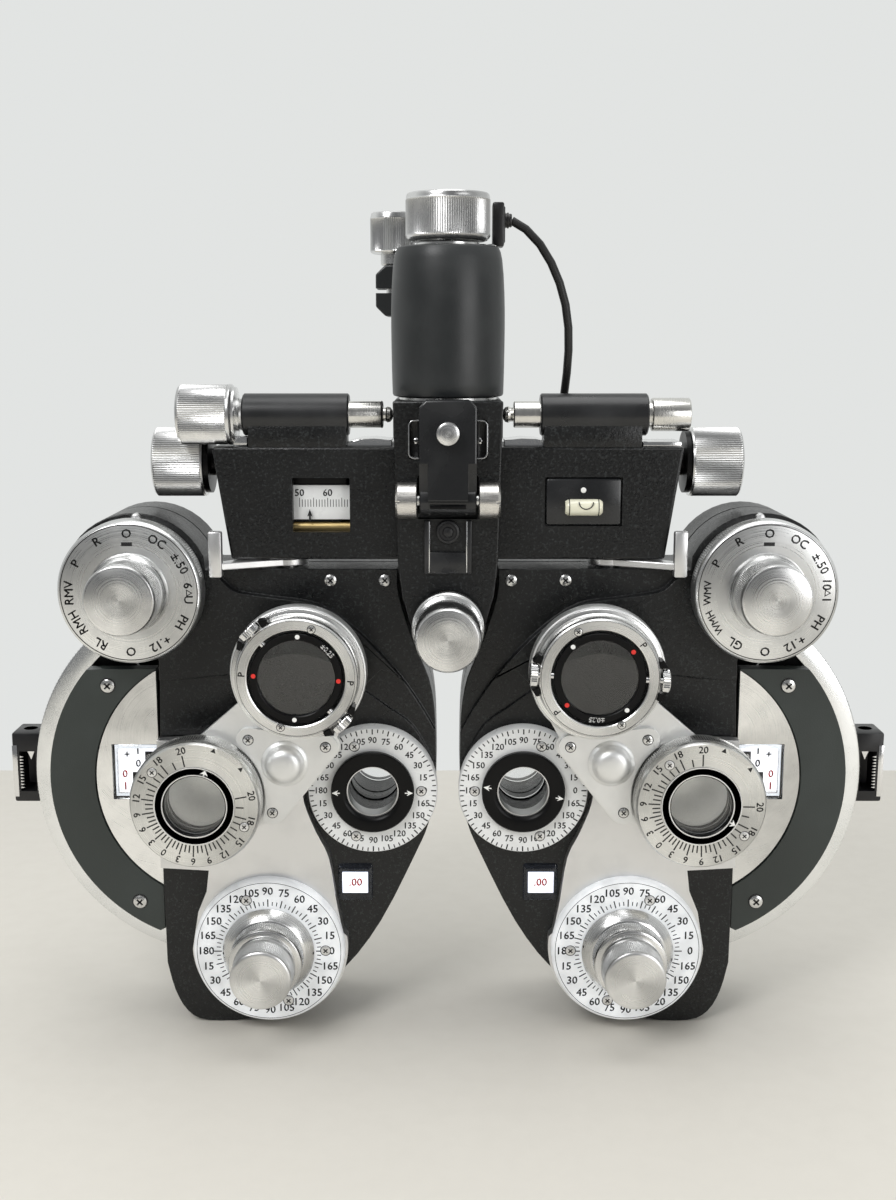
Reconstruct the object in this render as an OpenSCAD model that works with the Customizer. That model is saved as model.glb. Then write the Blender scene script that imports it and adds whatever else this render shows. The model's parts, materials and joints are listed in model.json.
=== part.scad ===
// Manual phoropter: two lens batteries hanging from a levelled bar, carried by a
// stem that clamps onto a stand's arm. Millimetres, +X to the operator's right,
// +Y towards the patient, +Z up. Origin at the centre of the arm clamp's bore.

/* [Head] */
// Pupil distance the head is drawn at
pd_rest = 54; // [50:0.5:75]
// Height of the sight apertures
aperture_z = -177; // [-190:1:-165]
// Radius of the clear sight hole
aperture_r = 9.2; // [8:0.1:10]
// Depth of the front half of a lens case
case_split = 20; // [16:1:24]
// Full depth of a lens case
case_depth = 38; // [34:1:42]
// Thickness of a case's side wall
case_wall = 3; // [2:0.5:4]

/* [Stem and arm clamp] */
// Radius of the arm clamp's bore
arm_bore_r = 7.94; // [6:0.01:10]
// Length of the arm clamp's bore
arm_bore_len = 28; // [20:1:36]
// Radius of the stem sleeve at its widest
sleeve_r = 20; // [17:0.5:22]
// Radius of the spindle that turns in the sleeve
spindle_r = 12; // [10:0.5:14]
// Radius of the rotation lock knob
rotation_knob_r = 14.75; // [12:0.25:17]
// Radius of the arm clamp's knob
clamp_knob_r = 8.3; // [6:0.1:10]

/* [Bar] */
// Half width of the bar at its top
bar_half_top = 82.8; // [78:0.2:88]
// Half width of the bar at its bottom
bar_half_bottom = 76.8; // [72:0.2:82]
// Depth of the bar
bar_depth = 30; // [26:1:34]
// Radius of the pupil distance knobs
pd_knob_r = 12.5; // [10:0.25:14]
// Radius of the levelling knob
level_knob_r = 10.5; // [8:0.25:12]
// Radius of the levelling tubes
tube_r = 7.4; // [6:0.1:9]
// Radius of the levelling rod and the spring plunger
level_rod_r = 4.7; // [3:0.1:5.5]

/* [Dials] */
// Radius of the auxiliary lens dial
aux_dial_r = 25.2; // [22:0.2:28]
// Radius of the strong sphere knob
strong_knob_r = 12.3; // [10:0.1:15]
// Radius of the weak sphere dial
weak_dial_r = 71.5; // [66:0.5:75]
// Number of lens seats in the weak sphere dial
weak_seats = 12; // [8:1:14]
// Radius of the axis dial round the aperture
axis_dial_r = 23.2; // [20:0.1:25]
// Radius of the cylinder axis scale
axis_scale_r = 27.6; // [24:0.2:30]
// Radius of the cylinder power knob
power_knob_r = 10.8; // [9:0.1:13]

/* [Turret] */
// Distance from the turret pivot to each lens unit
turret_r = 33; // [30:0.5:36]
// Radius of the cross cylinder's base ring
jcc_base_r = 23.6; // [21:0.2:25]
// Radius of the flipping cross cylinder cell
jcc_cell_r = 15.7; // [13:0.1:17]
// Radius of the rotary prism's dial
prism_r = 22.9; // [20:0.1:25]

/* [Hidden] */
$fn = 72;
e = 0.05;
run = 0.05;
// Front face of the lens cases, measured from the bore's centre
face_y = -50;
stem_y = 13;
hx = pd_rest / 2;
// Battery features, all for the left battery: [x, z]
aperture = [-27, aperture_z];
pivot = [-57, aperture_z + 13.7];
jcc = [pivot[0] + turret_r * sin(9.5), pivot[1] + turret_r * cos(9.5)];
prism = [pivot[0] + turret_r * sin(247.4), pivot[1] + turret_r * cos(247.4)];
aux = [-110.5, -104];
weak = [-81, -176];
axis_c = [-65.4, -237.4];
hang = [-58, stem_y];
// Direction of the left and right cross cylinders' flip axes
jcc_flip = [134, 2.7];
jcc_y = -26;
bar_top = -54.7;
bar_bottom = -94.4;
bar_y = 2;
pd_axis = [24.4, -61.6];
rod_axis = [11, -83.4];
level_z = -43.7;
level_y = 9;
tilt_z = -75;
fore_z = -116.6;
flip_axis = [-9, -72.2];

// ---- shared helpers -------------------------------------------------------

// Places children, drawn with the case fronts at y = 0, in the part's frame.
module at_front() translate([0, face_y, 0]) children();

// Draws the left-hand version of a piece, or its mirror image on the right.
module side(right) {
  shift = right ? hx - 27 : 27 - hx;
  translate([shift, 0, 0]) if (right) mirror([1, 0, 0]) children(); else children();
}

// Moves children to a point of the front plane.
module at(p, y = 0) translate([p[0], y, p[1]]) children();

// Upright plate: a flat outline in X and Z, from y0 back to y1.
module plate(y0, y1) translate([0, y1, 0]) rotate([90, 0, 0]) linear_extrude(y1 - y0) children();

// Round bars along each axis.
module rod_y(r, y0, y1) translate([0, y1, 0]) rotate([90, 0, 0]) cylinder(r = r, h = y1 - y0);
module rod_x(r, x0, x1) translate([x0, 0, 0]) rotate([0, 90, 0]) cylinder(r = r, h = x1 - x0);
module rod_z(r, z0, z1) translate([0, 0, z0]) cylinder(r = r, h = z1 - z0);

// Box given by two corners.
module block(a, b) translate(a) cube(b - a);

// Turned piece from [radius, distance] pairs, the distance running forwards,
// to the right or upwards from a starting plane.
module turned_y(y0, p) translate([0, y0, 0]) rotate([90, 0, 0]) rotate_extrude() polygon(p);
module turned_x(x0, p) translate([x0, 0, 0]) rotate([0, 90, 0]) rotate_extrude() polygon(p);
module turned_z(z0, p) translate([0, 0, z0]) rotate_extrude() polygon(p);

// Solid knob profile with chamfered ends.
function knob(r, h, c) = [[0, 0], [r - c, 0], [r, c], [r, h - c], [r - c, h], [0, h]];

function arc(c, r, a0, a1, n) = [for (i = [0:n]) let (a = a0 + (a1 - a0) * i / n)
  [c[0] + r * cos(a), c[1] + r * sin(a)]];

// Smooth open curve through the points p, with n steps for each span.
function span(a, b, c, d, t) = 0.5 * (2 * b + (c - a) * t + (2 * a - 5 * b + 4 * c - d) * t * t
  + (3 * b - a - 3 * c + d) * t * t * t);
function smooth(p, n) = [for (i = [0:len(p) - 2], k = [0:n - 1])
  span(p[max(i - 1, 0)], p[i], p[i + 1], p[min(i + 2, len(p) - 1)], k / n), p[len(p) - 1]];

// ---- outlines of the left battery ----------------------------------------

case_inner = [[-17.8, -98], [-17.4, -108], [-11.8, -126], [-6.9, -138], [-4.9, -150], [-4.4, -165],
  [-4.6, -180], [-7.2, -192], [-11.5, -202.5], [-24.8, -229.5], [-38.4, -248], [-56, -262],
  [-73.6, -268.4], [-90, -269.2], [-97.5, -265.5], [-102, -257], [-104.6, -246]];
case_outer = [[-104.9, -209], [-104.4, -160], [-103.6, -131]];
module case_shape() polygon(concat(smooth(case_inner, 3), case_outer,
  arc(aux, 26.4, -76, -325, 24), [[-86.4, -93], [-86, -98]]));
module case_hollow() offset(delta = -case_wall) case_shape();

upper_ledge = [[-82.5, -99], [-79.5, -102.5], [-74.5, -106], [-60, -108.2], [-46.6, -110.5],
  [-35, -118], [-26.4, -126.1], [-17, -137], [-9, -149], [-3, -160]];
module upper_shape() polygon(concat(smooth(upper_ledge, 3), [[-2, -97], [-84, -97]]));

cover_right = [[-50.5, -163], [-52.5, -172], [-52, -182], [-48, -193], [-43.4, -203], [-41, -219],
  [-38.5, -232]];
module cover_shape() polygon(concat([[-104.4, -159], [-72, -158], [-52, -157.5]],
  smooth(cover_right, 3), arc(axis_c, 28.6, 8, -178, 30), [[-91.5, -224], [-88.2, -216],
  [-87.2, -208], [-104.6, -207]]));

// ---- stem and clamp -------------------------------------------------------

module clamp_block() color("dimgray") difference() {
  union() {
    rod_y(13.5, -14, 14);
    block([-13.5, -16, -13.5], [13.5, -14, 13.5]);
    difference() {
      block([-26.5, -14, -9.2], [0, 6, 9.2]);
      for (s = [-1, 1]) translate([-26.5, -4, s * 9.2]) rotate([0, 45, 0]) cube([5, 22, 5], center = true);
    }
  }
  rod_y(arm_bore_r, -14, 15);
  block([-28, -14, -0.9], [0, 15, 0.9]);
  translate([-20.5, -4, 0]) rod_z(2.58, -7, 10);
}

module stem_sleeve() color("dimgray") at_front() difference() {
  translate([0, stem_y, 0]) union() {
    turned_z(-37.4, [[0, 0], [19.2, 0], [19.6, 0.8], [19.8, 12], [sleeve_r, 24], [sleeve_r - 0.1, 32],
      [19.4, 42], [18.9, 47], [18.3, 49.8], [17.2, 51.5], [0, 51.5]]);
    block([-13.5, 4, -13.5], [13.5, 21, 13.5]);
  }
  translate([0, stem_y, 0]) rod_z(spindle_r + run, -38, 15);
}

module clamp_knob() color("silver") translate([-20.5, -4, 0]) union() {
  turned_z(13.6, [[0, 0], [clamp_knob_r - 0.8, 0], [clamp_knob_r, 0.8], [clamp_knob_r, 13],
    [clamp_knob_r - 1, 14.9], [clamp_knob_r - 2.2, 14.9], [clamp_knob_r - 2.6, 13.8], [0, 13.8]]);
  rod_z(4.5, 9.5, 14);
  rod_z(2.5, -6.5, 10);
}

module rotation_knob() color("silver") at_front() translate([0, stem_y, 0]) difference() {
  turned_z(15.8, [[0, 0], [rotation_knob_r - 1.8, 0], [rotation_knob_r, 1.8], [rotation_knob_r, 14.2],
    [rotation_knob_r - 0.6, 16.2], [rotation_knob_r - 2.6, 16.2], [rotation_knob_r - 3.2, 14.6], [0, 14.6]]);
  rod_z(5 + run, 15, 27.4);
}

module stem_spindle() color("silver") at_front() translate([0, stem_y, 0]) union() {
  rod_z(17.2, -38.5, -37.7);
  rod_z(spindle_r, -38, 14.4);
  rod_z(5, 14, 27);
}

module cable_connector() color("black") at_front() {
  translate([0, stem_y, 0]) union() {
    difference() {
      union() {
        rod_z(11, 14.4, 15.4);
        block([0, 3.5, 14.4], [19, 11, 15.4]);
      }
      rod_z(5, 14, 16);
    }
    block([15.6, 3.5, 14.4], [19.7, 12.5, 29.6]);
    translate([0, 8, 23.6]) turned_x(19.7, [[0, 0], [3, 0], [2.6, 1.2], [2.4, 2.8], [0, 2.8]]);
  }
  translate([0, 41.6, -64]) union() {
    turned_x(9, [[0, 0], [3.6, 0], [3.6, 6], [2.6, 6.6], [2.4, 9.5], [0, 9.5]]);
    block([8, -3.6, -4], [15, 1, 4]);
  }
}

// Lamp cable, swept along its centre line.
cable_path = [[22.5, 21, 23.6], [27.5, 20.5, 20.6], [32.5, 20, 15.4], [36.5, 19.5, 9], [39.6, 19.5, 2],
  [41.8, 19.8, -5.5], [43, 20.5, -13.5], [43.3, 22, -21.5], [43, 24.2, -29.5], [42.4, 27, -37],
  [41.4, 30.5, -44], [39.8, 34.2, -50], [37, 37.6, -55], [33, 40, -59], [28.5, 41.3, -62], [23.5, 41.6, -63.7],
  [18.5, 41.6, -64]];
cable_r = 1.5;
cable_sides = 8;
function unit(v) = v / norm(v);
function heading(p, i) = unit(p[min(i + 1, len(p) - 1)] - p[max(i - 1, 0)]);
function ring_of(p, i) = let (d = (i == 0 || i == len(p) - 1) ? [1, 0, 0] * (i == 0 ? 1 : -1) : heading(p, i),
  u = unit(cross(d, [0, 1, 0])), v = cross(u, d))
  [for (k = [0:cable_sides - 1]) p[i] + cable_r * (u * cos(k * 360 / cable_sides) + v * sin(k * 360 / cable_sides))];
module lamp_cable() color("black") at_front() {
  n = cable_sides;
  m = len(cable_path);
  pts = [for (i = [0:m - 1], q = ring_of(cable_path, i)) q];
  walls = [for (i = [0:m - 2], k = [0:n - 1])
    [i * n + k, (i + 1) * n + k, (i + 1) * n + (k + 1) % n, i * n + (k + 1) % n]];
  polyhedron(pts, concat(walls, [[for (k = [0:n - 1]) k]], [[for (k = [0:n - 1]) m * n - 1 - k]]));
}

// ---- yoke, forehead rest and rod holder ----------------------------------

yoke_half = [[19, -38.5], [18.7, -50], [17.4, -95], [16.2, -106], [13.6, -115.5], [11.4, -121.5],
  [8, -126.5], [4, -129.2], [0, -130]];
module yoke_shape() polygon(concat(yoke_half, [for (i = [len(yoke_half) - 2:-1:0])
  [-yoke_half[i][0], yoke_half[i][1]]]));

module yoke_plate() color("dimgray") at_front() difference() {
  union() {
    plate(-6, -0.8) yoke_shape();
    block([-19, -6, -52], [19, 38, -38.5]);
    plate(34, 38) polygon([[-17, -52], [17, -52], [13.4, -96], [8, -118], [-8, -118], [-13.4, -96]]);
    translate([0, 0, tilt_z]) rod_y(4.5, -2, 35);
    translate([0, 0, fore_z]) rod_y(8, -6, 40);
    for (s = [-1, 1]) translate([0, flip_axis[0], flip_axis[1]]) rod_x(6.2, s < 0 ? -18 : 10.6, s < 0 ? -10.6 : 18);
    translate([0, flip_axis[0], flip_axis[1]]) rod_x(2, -11, 11);
    translate([0, 0, -83.4]) rod_y(4.1, -8.2, -5);
    block([-6.6, -7.6, -98], [6.6, -5, -90.5]);
    for (s = [-1, 1]) block([s < 0 ? -8.2 : 6.6, -7.6, -98], [s < 0 ? -6.6 : 8.2, -5, -79.5]);
  }
  translate([0, 0, fore_z]) rod_y(5 + run, -7, 41);
  for (s = [-1, 1]) block([s * 12 - 1.7, -7, -58.4], [s * 12 + 1.7, -3, -44.6]);
  difference() {
    block([-10.6, -7, -79], [10.6, -3.4, -64]);
    translate([0, flip_axis[0], flip_axis[1]]) rod_x(2, -11, 11);
  }
}

module rod_holder() color("black") at_front() difference() {
  union() {
    block([-9.8, -15.4, flip_axis[1]], [9.8, -6.5, -44]);
    plate(-15.4, -6.5) polygon([[-9.8, -44.2], [9.8, -44.2], [9.8, -40.2], [7.4, -37.8], [-7.4, -37.8], [-9.8, -40.2]]);
    translate([0, flip_axis[0], flip_axis[1]]) rod_x(5, -9.8, 9.8);
  }
  block([-4.6, -13.6, -64], [4.6, -8.4, -37]);
  translate([0, flip_axis[0], flip_axis[1]]) rod_x(2 + run, -11, 11);
  translate([0, 0, -48.8]) rod_y(1.75, -16, -13);
  block([-9.9, -16, -75], [-6.8, -12.6, -59]);
  block([6.8, -16, -75], [9.9, -12.6, -59]);
}

module rod_clamp_screw() color("silver") at_front() translate([0, 0, -48.8]) union() {
  turned_y(-15.7, [[0, 0], [3.4, 0], [4, 0.6], [4, 3.4], [3.5, 4.2], [0, 4.2]]);
  rod_y(1.7, -16, -13.8);
}

module forehead_knob() color("silver") at_front() translate([0, 0, fore_z]) union() {
  turned_y(-6.4, [[0, 0], [6.5, 0], [6.5, 1.4], [12.2, 1.6], [12.8, 2.4], [12.8, 4.8], [11.9, 5.6],
    [11.9, 7], [10.6, 7.8], [10.6, 10], [11.3, 10.8], [11.3, 24.6], [10.5, 26.4], [0, 26.4]]);
  rod_y(3, -7, 22);
}

module forehead_rest() color("dimgray") at_front() difference() {
  union() {
    translate([0, 0, fore_z]) rod_y(5, 2, 48);
    translate([0, 0, fore_z - 12.5]) linear_extrude(25) polygon(concat(
      arc([0, 137.8], 90, -113, -67, 16), arc([0, 131.8], 90, -66.5, -113.5, 16)));
  }
  translate([0, 0, fore_z]) rod_y(3 + run, 1, 38);
}

// ---- bar ------------------------------------------------------------------

module bar_shape(d) polygon([[-bar_half_top + d, bar_top - d], [bar_half_top - d, bar_top - d],
  [bar_half_bottom - d, bar_bottom - (d > 0 ? 1 : 0)], [-bar_half_bottom + d, bar_bottom - (d > 0 ? 1 : 0)]]);

module bar_housing() color("dimgray") at_front() difference() {
  union() {
    plate(bar_y, bar_y + bar_depth) bar_shape(0);
    translate([0, level_y, level_z]) {
      rod_x(tube_r, -72.1, -34.8);
      rod_x(tube_r, 32.5, 70.3);
    }
    block([-70, level_y - 6.5, bar_top - 1], [-37, level_y + 6.5, level_z]);
    block([34.5, level_y - 6.5, bar_top - 1], [68, level_y + 6.5, level_z]);
  }
  plate(bar_y + 2.5, bar_y + bar_depth - 2.5) bar_shape(2.4);
  translate([0, level_y, level_z]) {
    rod_x(level_rod_r + run, -73, -34);
    rod_x(level_rod_r + run, 32, 71);
  }
  translate([0, pd_axis[0], pd_axis[1]]) rod_x(2.8 + run, -90, 90);
  translate([0, rod_axis[0], rod_axis[1]]) rod_x(2.5, -76.5, 76.5);
  translate([0, 0, tilt_z]) rod_y(4.5 + run, 0, 33);
  block([-54.8, 0, -84.6], [-34.6, 6, -65.5]);
  block([34.1, 1, -82.5], [61.4, 3.4, -65.2]);
}

module guide_rod() color("goldenrod") at_front() translate([0, rod_axis[0], rod_axis[1]]) rod_x(2.5, -76, 76);

module pd_scale() color("white") at_front() side(false) block([-58, 6.1, -80.6], [-18, 7.4, -68.4]);

module spirit_level() color("black") at_front() union() {
  plate(1.4, 3.4) polygon([[34.5, -65.6], [61, -65.6], [61, -82.1], [34.5, -82.1]]);
  translate([0, 1.4, -75.8]) intersection() {
    rod_x(2.9, 41.2, 54.3);
    block([40, -3, -4], [56, 0.5, 4]);
  }
}

module level_knob() color("silver") at_front() translate([0, level_y, level_z]) union() {
  turned_x(-95, [[0, 0], [level_knob_r - 2, 0], [level_knob_r, 1.4], [level_knob_r, 18.6],
    [level_knob_r - 0.6, 19.2], [level_knob_r - 0.6, 20.4], [5.9, 20.8], [5.8, 22.6], [0, 22.6]]);
  rod_x(2.5, -73, -58);
}

module level_rod() color("silver") at_front() translate([0, level_y, level_z]) difference() {
  union() {
    rod_x(level_rod_r, -66, -23);
    turned_x(-23.2, [[0, 0], [2.4, 0], [2.4, 1.2], [2.9, 2], [2.6, 3], [1.6, 3.7], [0, 3.9]]);
  }
  rod_x(2.5 + run, -67, -50);
}

module spring_plunger() color("silver") at_front() translate([0, level_y, level_z]) union() {
  rod_x(level_rod_r, 23, 72);
  turned_x(19.3, [[0, 0], [1.6, 0.2], [2.6, 0.9], [2.9, 1.9], [2.4, 2.7], [2.4, 3.9], [0, 3.9]]);
  turned_x(71.7, [[0, 0], [5.85, 0], [5.85, 12.9], [5.2, 13.6], [0, 13.6]]);
}

module pd_screw() color("silver") at_front() translate([0, pd_axis[0], pd_axis[1]]) union() {
  rod_x(2.8, -88, 88);
  turned_x(-106.6, [[0, 0], [pd_knob_r - 0.8, 0], [pd_knob_r, 0.8], [pd_knob_r, 18], [pd_knob_r - 1.2, 18.6],
    [pd_knob_r - 1.2, 20.6], [5, 20.8], [5, 22.8], [0, 22.8]]);
  turned_x(83.9, [[0, 0], [5, 0], [5, 1.9], [pd_knob_r - 1.2, 2], [pd_knob_r, 3], [pd_knob_r, 21.6],
    [pd_knob_r - 0.8, 22.4], [0, 22.4]]);
}

module carriage_body() difference() {
  union() {
    block([-62.5, 7.6, -92], [-38, 28.6, -57.8]);
    translate([hang[0], hang[1], 0]) {
      rod_z(6, -94.7, -91);
      rod_z(4, -103.6, -94);
    }
  }
  translate([0, pd_axis[0], pd_axis[1]]) rod_x(2.8 + run, -70, -30);
  translate([0, rod_axis[0], rod_axis[1]]) rod_x(2.5 + run, -70, -30);
}
module left_carriage() color("silver") at_front() side(false) carriage_body();
module right_carriage() color("silver") at_front() side(true) union() {
  carriage_body();
  block([-44, 4.8, -91.4], [-39, 8, -87]);
  block([-40, 4.8, -90.6], [49.4, 5.7, -87.4]);
  block([48.6, 4.8, -88], [49.4, 5.7, -79]);
  plate(4.8, 5.7) polygon([[47.6, -79.4], [49, -77], [50.4, -79.4]]);
}

module vergence_lever() difference() {
  union() {
    translate([hang[0], hang[1], 0]) rod_z(7.5, -97.4, -94.9);
    translate([0, 0, -97.4]) linear_extrude(2.5) polygon([[-58, 6], [-79.2, -4.6], [-84, -4.6], [-84, -1],
      [-63, 18]]);
    block([-84, -4.6, -100], [-79.2, -1, -83.6]);
  }
  translate([hang[0], hang[1], 0]) rod_z(4 + run, -98, -94);
}
module left_vergence_lever() color("silver") at_front() side(false) vergence_lever();
module right_vergence_lever() color("silver") at_front() side(true) vergence_lever();

// ---- lens battery ---------------------------------------------------------

module case_front() difference() {
  union() {
    difference() {
      plate(0, case_split) case_shape();
      plate(7, case_split + 1) case_hollow();
      plate(-1, 3.4) upper_shape();
      at(weak) rod_y(weak_dial_r + 0.7, 8.2, 17.8);
    }
    translate([hang[0], hang[1], 0]) rod_z(6.7, -104.8, -98.5);
    block([hang[0] - 6.7, 6, -104.8], [hang[0] + 6.7, hang[1], -98.5]);
    at(aux) rod_y(6, -5, 1);
    at(pivot) rod_y(8, -12.6, 1);
    at(aperture) rod_y(12.5, 5, 8.4);
    block([-40.4, -1.2, -221.4], [-27.6, 1, -207]);
  }
  at(aperture) rod_y(aperture_r, -1, 9);
  at(aux) rod_y(3.5 + run, -6, 6);
  at(pivot) rod_y(5 + run, -13, 6);
  at(axis_c) rod_y(4 + run, -1, 6);
  translate([hang[0], hang[1], 0]) rod_z(4 + run, -105.5, -97);
}
module left_case_front() color("dimgray") at_front() side(false) case_front();
module right_case_front() color("dimgray") at_front() side(true) case_front();

module case_back() difference() {
  union() {
    difference() {
      plate(case_split, case_depth) case_shape();
      plate(case_split - 1, case_depth - 2.5) case_hollow();
    }
    at(weak) rod_y(4, 8.4, case_depth - 1);
    at(weak) rod_y(7, 18.2, case_depth - 1);
    at(aperture) rod_y(12.5, 18.4, case_depth - 1);
    at(aperture) turned_y(case_depth + 4, [[0, 0], [15.4, 0], [16, 0.6], [16, 5], [0, 5]]);
  }
  at(aperture) rod_y(aperture_r, 18, case_depth + 5);
}
module left_case_back() color("dimgray") at_front() side(false) case_back();
module right_case_back() color("dimgray") at_front() side(true) case_back();

// Guard over the weak sphere dial: a front and a back cheek either side of it.
guard_front = concat(arc([-81, -175.5], 64, 140, 246, 36), [[-105.1, -233], [-105.1, -134]]);
module window_cut() polygon([[-122.4, -162.4], [-107.2, -162.4], [-107.2, -183.2], [-122.4, -183.2]]);
module side_cover() union() {
  difference() {
    plate(1.4, 7.4) polygon(guard_front);
    plate(1, 3.4) polygon(concat(arc([-81, -175.5], 47.6, 118, 242, 36)));
    plate(1, 8) window_cut();
  }
  plate(18.6, 22) polygon(guard_front);
}
module left_side_cover() color("darkslategray") at_front() side(false) side_cover();
module right_side_cover() color("darkslategray") at_front() side(true) side_cover();

module sphere_bezel() difference() {
  plate(2.2, 3.4) polygon(concat(arc([-81, -175.5], 47.3, 121, 239, 36)));
  plate(1, 4) window_cut();
  plate(1, 4) polygon([[-105.2, -120], [-90, -120], [-90, -230], [-105.2, -230]]);
}
module left_sphere_bezel() color("silver") at_front() side(false) sphere_bezel();
module right_sphere_bezel() color("silver") at_front() side(true) sphere_bezel();

module cylinder_cover() difference() {
  plate(-5, 0) cover_shape();
  at(pivot) rod_y(8.3, -6, 1);
  at(axis_c) rod_y(5, -6, 1);
}
module left_cylinder_cover() color("silver") at_front() side(false) cylinder_cover();
module right_cylinder_cover() color("silver") at_front() side(true) cylinder_cover();

module aux_dial() at(aux) difference() {
  turned_y(-0.5, [[0, 0], [22, 0], [aux_dial_r - 0.4, 3], [aux_dial_r, 4], [aux_dial_r, 10], [aux_dial_r - 1.2, 11.6],
    [0, 11.6]]);
  rod_y(6 + run, -5.2, 0);
  rod_y(4.2, -13, 0);
}
module left_aux_dial() color("silver") at_front() side(false) aux_dial();
module right_aux_dial() color("silver") at_front() side(true) aux_dial();

module strong_knob() at(aux) union() {
  turned_y(-12.4, [[0, 0], [13.6, 0], [13.9, 0.6], [13.2, 2.2], [12.6, 3], [strong_knob_r, 4], [strong_knob_r, 14.8],
    [strong_knob_r - 0.7, 15.6], [0, 15.6]]);
  rod_y(3.5, -13, 5.5);
}
module left_strong_knob() color("silver") at_front() side(false) strong_knob();
module right_strong_knob() color("silver") at_front() side(true) strong_knob();

module weak_dial() at(weak) difference() {
  union() {
    rod_y(weak_dial_r - 1, 11, 13.6);
    difference() {
      rod_y(weak_dial_r, 9, 17);
      rod_y(weak_dial_r - 7.5, 8, 18);
    }
    rod_y(8, 9, 17);
  }
  rod_y(4 + run, 8, 18);
  for (i = [0:weak_seats - 1]) rotate([0, i * 360 / weak_seats + 1.06, 0]) translate([54, 0, 0]) rod_y(9, 10, 15);
}
module left_weak_dial() color("whitesmoke") at_front() side(false) weak_dial();
module right_weak_dial() color("whitesmoke") at_front() side(true) weak_dial();

module axis_dial() at(aperture) difference() {
  turned_y(-0.1, [[0, 0], [axis_dial_r, 0], [axis_dial_r, 6.2], [axis_dial_r - 0.6, 6.8], [0, 6.8]]);
  rod_y(13.2, -8, 1);
}
module left_axis_dial() color("white") at_front() side(false) axis_dial();
module right_axis_dial() color("white") at_front() side(true) axis_dial();

module axis_ring() at(aperture) difference() {
  turned_y(-0.6, [[0, 0], [13.15, 0], [13.15, 6.6], [14.9, 6.6], [14.9, 8.6], [14.3, 9.2], [0, 9.2]]);
  rod_y(aperture_r, -11, 1);
}
module left_axis_ring() color("black") at_front() side(false) axis_ring();
module right_axis_ring() color("black") at_front() side(true) axis_ring();

module axis_scale() at(axis_c) difference() {
  turned_y(-5.1, [[0, 0], [axis_scale_r, 0], [axis_scale_r, 2.6], [axis_scale_r - 1.2, 4], [0, 4]]);
  rod_y(8.2, -10, 0);
}
module left_axis_scale() color("white") at_front() side(false) axis_scale();
module right_axis_scale() color("white") at_front() side(true) axis_scale();

module axis_knob() at(axis_c) difference() {
  turned_y(-5.2, [[0, 0], [8, 0], [8, 4.2], [16.7, 4.3], [16.7, 5.2], [14.2, 8], [13.2, 8.8], [13.2, 15.2], [12.4, 16],
    [0, 16]]);
  rod_y(4 + run, -22, -4);
}
module left_axis_knob() color("silver") at_front() side(false) axis_knob();
module right_axis_knob() color("silver") at_front() side(true) axis_knob();

module power_knob() at(axis_c) union() {
  turned_y(-21.5, [[0, 0], [9.6, 0], [9.6, 1], [power_knob_r, 1.2], [power_knob_r + 0.3, 2], [power_knob_r, 11.8],
    [power_knob_r - 0.7, 12.5], [0, 12.5]]);
  rod_y(4, -22, 5.6);
}
module left_power_knob() color("silver") at_front() side(false) power_knob();
module right_power_knob() color("silver") at_front() side(true) power_knob();

// Turret arm: base rings for both lens units, joined over the pivot.
turret_web = [[-12.6, 8.5], [14.3, 5.9], [-4.7, -18]];
module turret_arm() difference() {
  union() {
    at(jcc) rod_y(jcc_base_r, -20.4, -14);
    at(prism) rod_y(20, -16.6, -14);
    at(prism) rod_y(14, -27.6, -14);
    plate(-16.6, -14) {
      polygon([jcc + [-20, -10], jcc + [20.6, -9], pivot + [17.5, 9.5], pivot + [18.8, 3], pivot + [12, -3.5],
        pivot + [-1, -22], pivot + [-7.5, -22], prism + [10, -15], prism + [-4, 18]]);
      for (p = turret_web) translate(pivot + p) circle(r = 5);
    }
    at(pivot) plate(-18.6, -16.4) {
      polygon([for (p = turret_web) p]);
      polygon([[-14.8, 11.6], [16.8, 9], [17.8, 3.4], [-1.5, -21.6], [-8, -20.4], [-16.9, 6.6]]);
      for (p = turret_web) translate(p) circle(r = 4.2);
    }
    at(pivot) turned_y(-18.4, [[0, 0], [8.2, 0], [8.2, 0.8], [6.4, 2.2], [5.9, 3.6], [4.4, 4.6], [0, 5]]);
    at(pivot) rod_y(5, -15, 5.5);
  }
  at(jcc) rod_y(19.6 + run, -21, -13);
  at(prism) {
    rod_y(11, -28, -13);
    difference() {
      rod_y(prism_r + 0.5, -24, -16.6);
      rod_y(14, -28, -14);
    }
  }
}
module left_turret_arm() color("silver") at_front() side(false) turret_arm();
module right_turret_arm() color("silver") at_front() side(true) turret_arm();

// Cross cylinder's turning ring, carrying the flip pins.
module jcc_ring(flip) at(jcc) difference() {
  union() {
    turned_y(-14.2, [[0, 0], [19.6, 0], [19.6, 6.4], [22.9, 6.4], [22.9, 7], [21.4, 7.4], [20.9, 8.4], [20.9, 12.4],
      [20.2, 13.4], [0, 13.4]]);
  }
  rod_y(16.7, -30, 0);
  rotate([0, -flip, 0]) translate([0, jcc_y, 0]) {
    rod_x(1.25, -24, 24);
    for (s = [-1, 1]) translate([s * 22.6, 0, 0]) cube([4, 8.6, 8], center = true);
  }
}
module left_jcc_ring() color("silver") at_front() side(false) jcc_ring(jcc_flip[0]);
module right_jcc_ring() color("silver") at_front() side(true) jcc_ring(jcc_flip[1]);

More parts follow.
